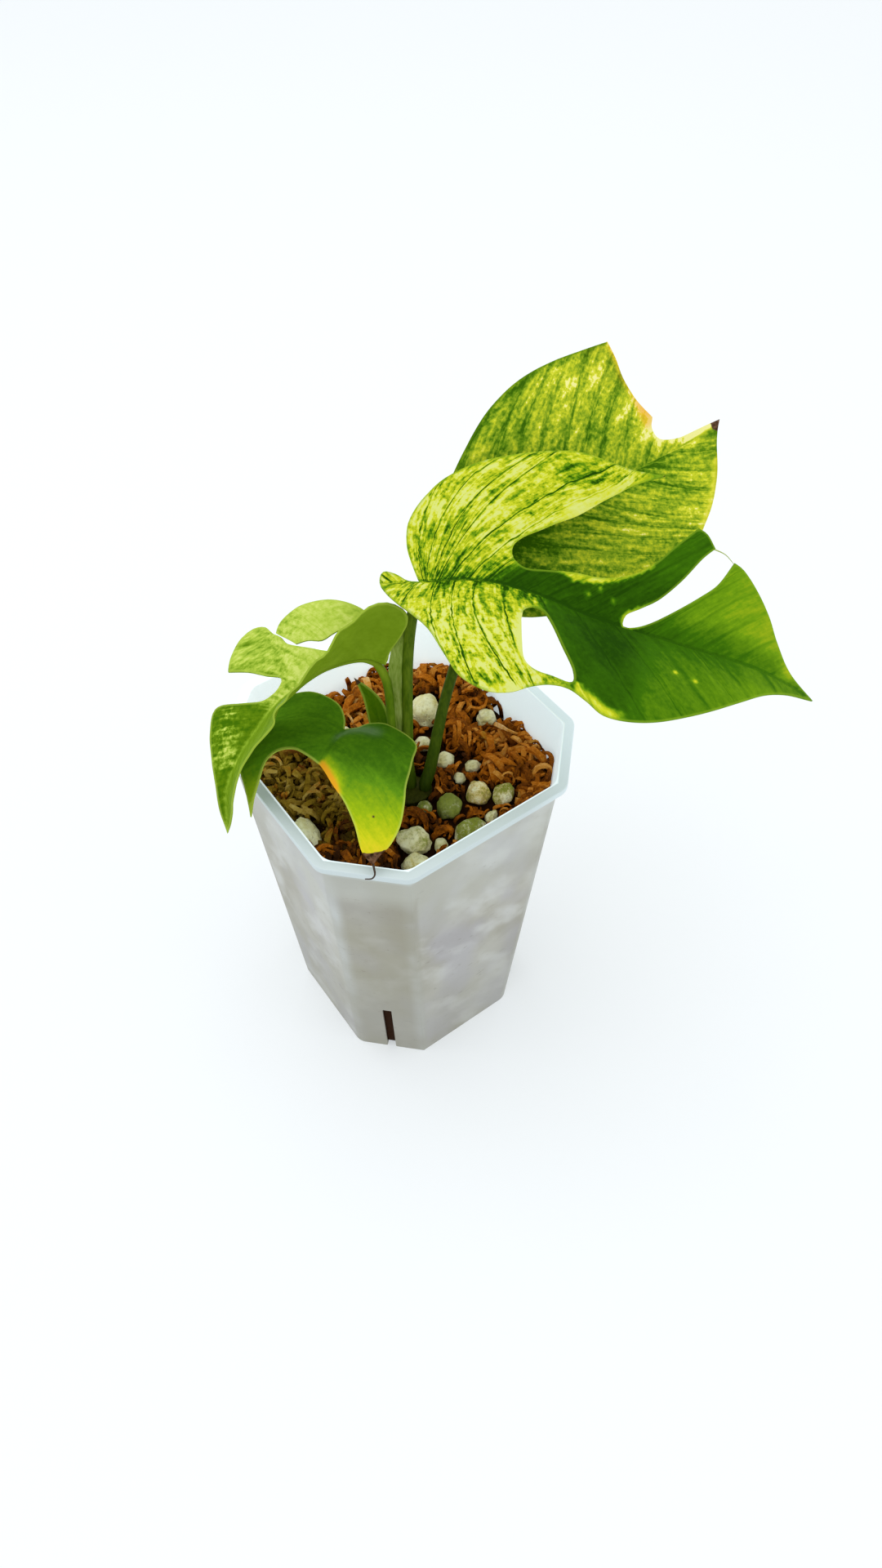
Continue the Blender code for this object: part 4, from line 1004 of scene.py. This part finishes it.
def make_wing(name, sides, paint, node):
    """The thin sheath along a petiole, cupped, free at its tip."""
    left, right = (resampled(smooth_path(side, 0.5), WING_ROWS) for side in sides)
    share = np.linspace(0.0, 1.0, WING_COLUMNS)[None, :, None]
    open_up = rise(np.linspace(0.0, 1.0, WING_ROWS), 0.0, 0.3)[:, None, None]
    cup = unit(np.cross(np.gradient(left, axis=0), right - left))
    sheet = left[:, None] + (right - left)[:, None] * share
    sheet = sheet + cup[:, None] * (WING_CUP * np.sin(math.pi * share) * open_up)
    grid = np.arange(WING_ROWS * WING_COLUMNS).reshape(WING_ROWS, WING_COLUMNS)
    faces = np.stack([grid[:-1, :-1], grid[1:, :-1], grid[1:, 1:], grid[:-1, 1:]], -1).reshape(-1, 4)
    wing = new_piece(name, sheet.reshape(-1, 3), faces.tolist())
    modify(wing, "SOLIDIFY", thickness=LEAF_THICKNESS * MM, offset=0.0)
    finish(wing, paint, node)


def make_thread(name, start, steps, radius, paint, node):
    """A dry hair that hangs on from a place on the leaf."""
    points = smooth_path([start] + [start + step for step in np.array(steps, float)], 0.25)
    radii = radius * (1.0 - 0.6 * np.linspace(0.0, 1.0, len(points)))
    finish(stalk(name, points, radii, THREAD_SIDES), paint, node)


def make_leaves():
    variegated = leaf_paint("variegated front leaf", FRONT_TONES, (130, 165, 40), vein=(0.5, 0.25),
                            streak=(6.0, 0.22, 2.1), speckle=1.4)
    pale = leaf_paint("variegated back leaf", BACK_TONES, (96, 132, 16), seed=31.0, vein=(0.26, 0.75),
                      streak=(5.0, 0.26, 1.5), speckle=1.5)
    young = leaf_paint("young lime leaf", YOUNG_TONES, (178, 200, 80), seed=52.0, vein=(0.2, 0.24))
    turning = leaf_paint("yellowing low leaf", LOW_TONES, (190, 205, 90), seed=71.0, vein=(0.15, 0.24),
                         gloss=0.0)
    front_stalk = green_paint("petiole green", (68, 94, 12), (100, 122, 28))
    deep_stalk = green_paint("deep petiole green", (52, 74, 12), (76, 96, 20))
    young_stalk = green_paint("young petiole green", (84, 116, 16), (106, 136, 28))
    leaves = (("front", FRONT_LEAF, front_marks, variegated, front_stalk, "leaf_variegated"),
              ("back", BACK_LEAF, back_marks, pale, deep_stalk, "leaf_variegated"),
              ("left", LEFT_LEAF, left_marks, young, young_stalk, "leaf_young"),
              ("low", LOW_LEAF, low_marks, turning, deep_stalk, "leaf_yellowing"))
    for side, leaf, marks, paint, _, slot in leaves:
        make_blade(f"{side}_blade", leaf, marks, paint, f"leaf_{side}")
    make_blade("sheath_blade", SHEATH_LEAF, sheath_marks, young, "sheath_leaf")
    for side, leaf, _, _, stalk_paint, _ in leaves:
        make_petiole(f"{side}_petiole", leaf, stalk_paint, f"leaf_{side}")
    make_wing("front_wing", WING, green_paint("sheath green", (112, 140, 34), (172, 190, 100)),
              "leaf_front")
    husk = Paint("dry hair", Base_Color=colour(62, 46, 30), Roughness=0.7).material
    pale_husk = Paint("pale hair", Base_Color=colour(170, 185, 90), Roughness=0.6).material
    make_thread("low_thread", LOW_LEAF.place(31.1, 18.3), LOW_THREAD, 0.30, husk,
                "leaf_low")
    make_thread("left_thread", LEFT_LEAF.place(26.8, -24.9), LEFT_THREAD, 0.12, pale_husk,
                "leaf_left")
    start, end = FRONT_LEAF.place(62.0, 24.4), FRONT_LEAF.place(67.4, 22.6)
    make_thread("front_thread", start, (0.5 * (end - start) + FRONT_THREAD_BOW, end - start), 0.16,
                pale_husk, "leaf_front")


# Pot


def wall_size(height, inset=0.0):
    """Half width and corner cut of the tapered wall at a height."""
    share = height / WALL_HEIGHT
    half = FOOT_HALF + (TOP_HALF - FOOT_HALF) * share - inset
    cut = FOOT_CUT + (TOP_CUT - FOOT_CUT) * share - CUT_PER_OFFSET * inset
    return half, cut


def tapered_block(name, low, high, low_size, high_size):
    """A square block, tapered, its four corners cut off and all its upright edges rounded."""
    (half, cut), (top_half, top_cut) = low_size, high_size
    height = high - low
    bpy.ops.mesh.primitive_cube_add(size=2.0 * MM, location=(0.0, 0.0, 0.0))
    block = bpy.context.object
    block.name = name
    bpy.ops.object.mode_set(mode="EDIT")
    bpy.ops.transform.resize(value=(half, half, height / 2.0))
    bpy.ops.transform.translate(value=(0.0, 0.0, (low + height / 2.0) * MM))
    bpy.ops.mesh.select_all(action="DESELECT")
    drawn = bmesh.from_edit_mesh(block.data)
    for vertex in drawn.verts:
        vertex.select = vertex.co.z > (low + height / 2.0) * MM
    drawn.select_flush(True)
    bmesh.update_edit_mesh(block.data)
    bpy.ops.transform.resize(value=(top_half / half, top_half / half, 1.0))
    reach, top_reach = (2.0 * half - cut) / math.sqrt(2.0), (2.0 * top_half - top_cut) / math.sqrt(2.0)
    for degrees in DIAGONALS:
        out = towards(degrees)
        bpy.ops.mesh.select_all(action="SELECT")
        bpy.ops.mesh.bisect(plane_co=(*(reach * MM * out), low * MM), use_fill=True, clear_outer=True,
                            plane_no=(*out, -(top_reach - reach) / height))
    select_upright(block, height)
    bpy.ops.mesh.select_mode(type="EDGE")
    bpy.ops.mesh.bevel(offset=CORNER_ROUND * MM, segments=4)
    bpy.ops.object.mode_set(mode="OBJECT")
    return block


def combine(obj, operation, other):
    modify(obj, "BOOLEAN", operation=operation, object=other, solver="EXACT")
    bpy.data.objects.remove(other)


def pot_paint():
    """Frosted plastic: painted shade where the filling stands behind it, painted light where nothing
    stands behind, and a painted glow on the inner wall and rim for light that comes through.
    """
    paint = Paint("frosted plastic", Roughness=0.36, Specular_IOR_Level=0.3, Emission_Strength=1.0)
    where = paint.place()
    x, y, z = paint.split(where)
    smear = paint.noise((x * 0.07 + z * 0.035, y * 0.07 + z * 0.035, z * 0.05), detail=3.0)
    cloud = paint.noise(where, scale=0.045, detail=3.0)
    lilac = paint.noise((x + 40.0, y, z * 0.7), scale=0.05)
    crumbs = paint.noise((x, y, z * 1.4), scale=0.16, detail=5.0, roughness=0.75)
    smudge = paint.noise((x * 0.3, y * 0.3, z * 0.8), detail=4.0, roughness=0.7)
    wide, deep = abs(x), abs(y)
    half, flat = z * WALL_SLOPE + FOOT_HALF, z * FLAT_SLOPE + FOOT_FLAT
    past_cut = (wide + deep - half - flat) * math.sqrt(0.5)
    outward = (wide.most(deep) - half).most(past_cut)
    chamfer = past_cut.step(-1.6, -0.4)
    corner = abs(wide.least(deep) - flat)
    lit_above_fill = (z.step(60.0, 97.0) * (1.0 - chamfer)).most(z.step(88.0, 97.0))
    inner = outward.fade(-0.65, -0.3) * z.step(87.0, 91.0)
    base = paint.coats(
        paint.mix(cloud.step(0.36, 0.62), colour(156, 152, 134), colour(186, 185, 174)),
        (lilac.step(0.44, 0.64) * 0.5, (172, 170, 184)),
        (smear.step(0.48, 0.68) * 0.65, (212, 214, 210)),
        (crumbs.step(0.60, 0.72) * 0.3, (126, 114, 94)),
        (chamfer * 0.6, (148, 144, 122)),
        # Painted light along the rounded corners
        (corner.fade(0.3, 2.4) * (cloud * 1.6 - 0.5).most(0.1), (206, 212, 212)),
        (z.fade(15.0, 70.0) * 0.46, (150, 149, 136)),
        (smudge.step(0.63, 0.70) * 0.45, (104, 92, 76)),
        # Painted light above the filling, where nothing stands behind the wall
        (lit_above_fill * 0.46, (200, 205, 196)),
        (z.step(101.5, 104.5), (209, 222, 223)),
        (inner, (222, 234, 238)))
    rim = z.step(101.0, 103.5)
    # Painted glow for light that comes through the plastic
    lit = (y - x * 0.1).step(4.0, 34.0) * inner.most(rim)
    glow = paint.mix(inner, (0.0, 0.0, 0.0, 1.0), INNER_GLOW)
    glow = paint.mix(lit, glow, BACK_GLOW)
    glow = paint.mix((1.0 - inner) * x.step(8.0, 40.0) * rim * (1.0 - lit), glow, RIGHT_GLOW)
    return paint.feed(smear * 0.5 + crumbs * 0.2, 0.0002, 0.3, Base_Color=base,
                      Roughness=0.32 + cloud * 0.2, Emission_Color=glow)


def make_pot():
    lip, top = (RIM_HALF, RIM_CUT), POT_HEIGHT + CUTTER_PLAY
    pot = tapered_block("pot_wall", 0.0, WALL_HEIGHT + RIM_OVERLAP, wall_size(0.0), wall_size(WALL_HEIGHT))
    combine(pot, "UNION", tapered_block("rim", WALL_HEIGHT, POT_HEIGHT, lip, lip))
    hollow = tapered_block("hollow", FLOOR, top, wall_size(FLOOR, WALL), wall_size(top, WALL))
    combine(pot, "DIFFERENCE", hollow)
    corner_reach = math.sqrt(2.0) * FOOT_HALF - FOOT_CUT / math.sqrt(2.0)
    slit = corner_reach + (SLIT_CUTTER_OUT - SLIT_REACH) / 2.0
    for degrees in DIAGONALS:
        bpy.ops.mesh.primitive_cube_add(
            size=MM, rotation=(0.0, 0.0, math.radians(degrees)),
            location=(*(slit * MM * towards(degrees)), (SLIT_HEIGHT - CUTTER_PLAY) / 2.0 * MM),
            scale=(SLIT_REACH + SLIT_CUTTER_OUT, SLIT_WIDTH, SLIT_HEIGHT + CUTTER_PLAY))
        combine(pot, "DIFFERENCE", bpy.context.object)
        bpy.ops.mesh.primitive_cylinder_add(
            vertices=32, radius=DRAIN_RADIUS * MM, depth=4.0 * FLOOR * MM,
            location=(*(DRAIN_CIRCLE * MM * towards(degrees - 45.0)), 0.0))
        combine(pot, "DIFFERENCE", bpy.context.object)
    modify(pot, "BEVEL", width=EDGE_ROUND * MM, segments=3, limit_method="ANGLE",
           angle_limit=math.radians(40.0))
    finish(pot, pot_paint(), "pot", angle=35.0)


# Filling


def fill_level(x, y):
    """Height of the filling at a place in the plant's axes."""
    return FILL_LEVEL + FILL_SLOPE * x + FILL_LUMP * lumps((x / 11.0, y / 11.0, 3.0))


def fill_corners():
    """The eight corners of the filling at its level, in the pot's axes."""
    half, cut = wall_size(FILL_LEVEL, WALL + FILL_PLAY)
    flat = half - cut
    corners = np.array([(half, -flat), (half, flat), (flat, half), (-flat, half)])
    return np.vstack([corners, -corners])


def press_in(points, inset):
    """Moves places in the pot's axes that lie beyond the wall in to it."""
    points = points.copy()
    half = FOOT_HALF + WALL_SLOPE * points[:, 2] - inset
    flat = FOOT_FLAT + FLAT_SLOPE * points[:, 2]
    for k in range(8):
        out = towards(45.0 * k)
        limit = half if k % 2 == 0 else (half + inset + flat) / math.sqrt(2.0) - inset
        beyond = np.maximum(0.0, points[:, :2] @ out - limit)
        points[:, :2] -= beyond[:, None] * out
    return points


def fibre_paint():
    """Coconut fibre: fox brown to straw, with painted shade deep in the fibre, under the low leaf and
    round the crown, green where moss has taken hold.
    """
    paint = Paint("coconut fibre", Specular_IOR_Level=0.08)
    where = paint.place()
    tone, moss, depth = (paint.number(mark) for mark in ("tone", "moss", "depth"))
    strands = paint.noise(where, scale=1.6, detail=4.0, roughness=0.7)
    patch = paint.noise(where, scale=0.14, detail=3.0)
    # The depth mark is painted shade: in the fibre's depths, under the low leaf and round the crown
    shade = tone * 0.5 + strands * 0.7 + (patch - 0.5) * 0.9 - depth * 0.5 - 0.06
    brown = paint.ramp(shade, (0.0, 52, 30, 12), (0.25, 118, 64, 14), (0.5, 186, 106, 24),
                       (0.75, 218, 150, 66), (1.0, 240, 202, 146))
    mossy = paint.ramp(shade, (0.1, 74, 62, 12), (0.5, 138, 124, 38), (1.0, 200, 182, 100))
    green = (moss + (patch - 0.5) * 2.2 + (strands - 0.5) * 0.6).step(0.45, 0.85)
    return paint.feed(strands, 0.0003, 0.8, Base_Color=paint.mix(green * 0.75, brown, mossy),
                      Roughness=0.75 + strands * 0.2)


def ribbon(length, width, thickness, curl, twist, advance):
    """One strip of fibre: a block cut along its length, twisted, and coiled like a shaving."""
    bpy.ops.mesh.primitive_cube_add(size=MM, location=(0.0, 0.0, 0.0))
    strip = bpy.context.object
    bpy.ops.object.mode_set(mode="EDIT")
    bpy.ops.transform.resize(value=(thickness, width, length))
    bpy.ops.mesh.select_mode(type="EDGE")
    select_upright(strip, length)
    bpy.ops.mesh.subdivide(number_cuts=RIBBON_CUTS)
    bpy.ops.object.mode_set(mode="OBJECT")
    for vertex in strip.data.vertices:
        x, y, z = vertex.co / MM
        end = abs(2.0 * z / length)
        ragged = 0.22 * lumps((z / 1.7, width * 3.0, math.copysign(2.0, y)))
        across = y * (1.0 - 0.4 * end ** 3) + ragged + advance * z
        vertex.co = Vector((x * (1.0 - 0.3 * end * end), across, z)) * MM
    modify(strip, "SIMPLE_DEFORM", deform_method="TWIST", deform_axis="Z", angle=math.radians(twist))
    modify(strip, "SIMPLE_DEFORM", deform_method="BEND", deform_axis="Y", angle=math.radians(curl))
    places = places_of(strip)
    faces = np.array([face.vertices for face in strip.data.polygons])
    bpy.data.objects.remove(strip)
    return places - places.mean(0), faces


def keep_out_balls():
    """Balls in the plant's axes, round the stones, the crown and the petioles' feet."""
    balls = []
    for x, y, radius, *_ in STONES:
        for height, size in STONE_BALLS:
            balls.append((x, y, fill_level(x, y) + height * radius, size * radius))
    for leaf in (FRONT_LEAF, BACK_LEAF, LEFT_LEAF, LOW_LEAF):
        for point in smooth_path(leaf.petiole, 1.0)[:CLEAR_HEIGHT]:
            balls.append((*point, STALK_SWELL * leaf.thick + STALK_GAP))
    for across in CROWN_BALLS:
        for height in CROWN_BALL_HEIGHTS:
            balls.append((CROWN_CENTRE[0] + across, CROWN_CENTRE[1], height, CROWN_HALF[1] + CROWN_GAP))
    return np.array(balls)


def make_core(paint):
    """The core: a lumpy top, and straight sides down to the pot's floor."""
    corners = fill_corners()
    loop = []
    for a, b in zip(corners, np.roll(corners, -1, axis=0)):
        count = max(2, round(float(np.linalg.norm(b - a)) / CORE_CELL))
        loop += [a + (b - a) * k / count for k in range(count)]
    points, faces = flat_sheet([np.array(loop)], CORE_CELL)
    places = unturned(points)
    height = [fill_level(x, y) - CORE_DROP + CORE_LUMP * lumps((x / 2.6, y / 2.6, 8.0)) for x, y in places]
    ring, first, floor = len(loop), len(points), FLOOR + FLOOR_PLAY
    shrink = wall_size(floor, WALL + FILL_PLAY)[0] / corners[0, 0]
    low = np.column_stack([points[:ring] * shrink, np.full(ring, floor)])
    low = unturned(press_in(low, WALL + FILL_PLAY))
    skirt = [(k, first + k, first + (k + 1) % ring, (k + 1) % ring) for k in range(ring)]
    foot = tuple(first + k for k in range(ring))[::-1]
    core = new_piece("filling_core", np.vstack([np.column_stack([places, height]), low]),
                     faces.tolist() + skirt + [foot])
    put_numbers(core, tone=0.0, moss=0.0, depth=CORE_SHADE)
    finish(core, paint, "filling")


def make_loose_fibre(paint):
    """Curled ribbons strewn over the core, clear of stones and stalks, with short ones at the front right."""
    shapes = [ribbon(*spec) for spec in RIBBONS]
    balls = keep_out_balls()
    corners = fill_corners()
    places, faces, marks = [], [], []
    tried = 0
    rng = np.random.default_rng(5)
    while len(places) < LOOSE + SHORT and tried < MOST_TRIES:
        tried += 1
        short = len(places) >= LOOSE
        x, y = rng.uniform(*SHORT_PATCH) if short else rng.uniform(-RIM_HALF, RIM_HALF, 2)
        if not inside(turned((x, y))[None], corners)[0]:
            continue
        shape, sides = shapes[rng.integers(len(shapes))]
        turns = rng.uniform(0.0, 2.0 * math.pi), rng.normal(0.0, 0.5), rng.uniform(0.0, 6.3)
        heading, lean, roll = (Matrix.Rotation(turn, 3, axis) for turn, axis in zip(turns, "ZXY"))
        sunk = rng.uniform(0.0, 1.0)
        level = fill_level(x, y) - CORE_DROP + LOOSE_RAISE + LOOSE_DEPTH * (1.0 - sunk)
        scale = rng.uniform(*(SHORT_SIZE if short else LOOSE_SIZE))
        copy = (shape * scale) @ np.array(heading @ lean @ roll).T + (x, y, level)
        copy[:, 2] = np.maximum(copy[:, 2], level - LOOSE_REACH_DOWN)
        gaps = np.linalg.norm(copy[:, None, :] - balls[None, :, :3], axis=2)
        if (gaps < balls[:, 3]).any():
            continue
        faces.append(sides + sum(map(len, places)))
        places.append(unturned(press_in(turned(copy), WALL + LOOSE_PLAY)))
        tone, moss = rng.uniform(0.0, 1.0), 0.25 * rng.uniform(0.0, 1.0)
        moss += 0.72 * rise(-x, 2.0, 12.0) * fall(y, 8.0, 15.0) * rise(y, -32.0, -12.0)
        # Painted shade under the low leaf and round the crown; depth also adds painted shade to sunk ribbons
        # and their lower parts
        painted_shade = 0.55 * rise(-y, 8.0, 18.0) * rise(-x, -4.0, 4.0) * fall(-x, 16.0, 22.0)
        painted_shade += 0.5 * spot(x, y, 4.0, -8.0, 10.95)
        depth = sunk * 0.5 + painted_shade + 0.24 * np.clip(level + 1.0 - copy[:, 2], 0.0, 3.0)
        marks.append(np.column_stack(np.broadcast_arrays(tone, moss, depth)))
    loose = new_piece("loose_fibre", np.vstack(places), np.vstack(faces).tolist())
    tone, moss, depth = np.vstack(marks).T
    put_numbers(loose, tone=tone, moss=moss, depth=depth)
    finish(loose, paint, "filling")


def make_filling():
    paint = fibre_paint()
    make_core(paint)
    make_loose_fibre(paint)


def stone_paint():
    """Pumice: pale and pitted, stained by algae and by iron."""
    paint = Paint("pumice", Specular_IOR_Level=0.2)
    where = paint.place()
    algae, warm = paint.number("algae"), paint.number("warm")
    cloud = paint.noise(where, scale=0.32, detail=4.0, roughness=0.65)
    grain = paint.noise(where, scale=2.4, detail=3.0, roughness=0.7)
    pores = paint.cells(where, scale=1.5)
    base = paint.coats(
        paint.mix(cloud.step(0.3, 0.7), colour(250, 247, 208), colour(218, 208, 140)),
        ((warm + (grain - 0.5) * 1.2 + (cloud - 0.5) * 1.5).step(0.7, 1.2) * 0.7, (216, 176, 70)),
        ((algae + (cloud - 0.5) * 1.9 + (grain - 0.5) * 0.7).step(0.32, 0.85) * 0.92,
         paint.mix(grain, colour(76, 96, 14), colour(150, 160, 50))),
        # Painted shade in the pits
        (pores.fade(0.05, 0.22) * 0.4, (120, 112, 84)))
    return paint.feed(pores.step(0.0, 0.35) * 0.7 + grain * 0.3, 0.0004, 0.8, Base_Color=base,
                      Roughness=0.75 + grain * 0.2)


def make_stones():
    """Worn pumice: a ball with a few flattened sides, stretched one way and partly sunk."""
    paint = stone_paint()
    rng = np.random.default_rng(9)
    for k, (x, y, radius, stretch, heading, algae, warm) in enumerate(STONES):
        bpy.ops.mesh.primitive_ico_sphere_add(subdivisions=5, radius=1.0, location=(0.0, 0.0, 0.0))
        stone = bpy.context.object
        stone.name = f"stone_{k + 1:02d}"
        directions = unit(places_of(stone))
        worn = [1.0 + 0.26 * lumps(d * 1.3 + (k * 3.1, 0.0, 0.0)) + 0.07 * lumps(d * 3.2 + (k, 4.0, 0.0))
                - 0.035 * max(0.0, lumps(d * 9.0 + (k, 0.0, 7.0))) for d in directions]
        facing = directions @ unit(rng.normal(size=(STONE_FACETS, 3))).T
        reach = rng.uniform(0.84, 1.0, STONE_FACETS) / np.maximum(facing, 0.2)
        nearest = np.exp(-FACET_SHARPNESS * np.column_stack([worn, reach])).sum(1)
        body = directions * (radius * (0.06 - np.log(nearest) / FACET_SHARPNESS))[:, None]
        body = turned(body * (stretch, 1.0 / math.sqrt(stretch), STONE_FLATNESS), math.radians(heading))
        move_to(stone, body + (x, y, fill_level(x, y) + STONE_RAISE * radius))
        put_numbers(stone, algae=algae, warm=warm)
        finish(stone, paint, f"pumice_{k + 1:02d}", angle=60.0)


def make_stem():
    """The short rooted stem, swollen at two leaf scars."""
    path = smooth_path([(0.0, 0.0, height) for height, _ in STEM_SIZES], 0.7)
    stem = stalk("stem_body", path, between(STEM_SIZES, path[:, 2]), STEM_SIDES)
    move_to(stem, unturned(places_of(stem)) * (*CROWN_HALF, 1.0) + (*CROWN_CENTRE, 0.0))
    finish(stem, green_paint("stem green", (72, 70, 20), (112, 112, 40)), "stem")


# Stage


def make_stage():
    paint = Paint("pale floor", Base_Color=FLOOR_COLOUR, Roughness=0.9, Emission_Color=FLOOR_GLOW,
                  Emission_Strength=1.0, Specular_IOR_Level=0.1)
    bpy.ops.mesh.primitive_plane_add(size=FLOOR_SIZE, location=(0.0, 0.0, 0.0))
    floor = bpy.context.object
    floor.name = "floor"
    floor.data.materials.append(paint.material)

    scene = bpy.context.scene
    scene.view_settings.view_transform = "Standard"
    scene.world = bpy.data.worlds.new("soft studio")
    scene.world.use_nodes = True
    sky = scene.world.node_tree.nodes["Background"].inputs
    sky["Color"].default_value = SKY_COLOUR
    sky["Strength"].default_value = SKY_STRENGTH
    for name, place, size, power in LAMPS:
        lamp = bpy.data.lights.new(name, "AREA")
        lamp.energy, lamp.size = power, size
        light = new_object(name, lamp)
        light.location = place
        light.rotation_euler = (Vector(LAMP_AIM) - Vector(place)).to_track_quat("-Z", "Y").to_euler()

    lens = bpy.data.cameras.new("camera")
    lens.sensor_width, lens.lens, lens.clip_start = SENSOR_WIDTH, LENS_LENGTH, 0.01
    lens.sensor_fit = "AUTO"
    camera = new_object("camera", lens)
    camera.matrix_world = (Matrix.Rotation(PLANT_TURN, 4, "Z") @ Matrix.Translation(Vector(CAMERA_PLACE) * MM)
                           @ Matrix.Rotation(-CAMERA_YAW, 4, "Z") @ Matrix.Rotation(CAMERA_TILT, 4, "X")
                           @ Matrix.Rotation(CAMERA_ROLL, 4, "Z"))
    scene.camera = camera


make_pot()
make_filling()
make_stem()
make_stones()
make_leaves()
make_stage()
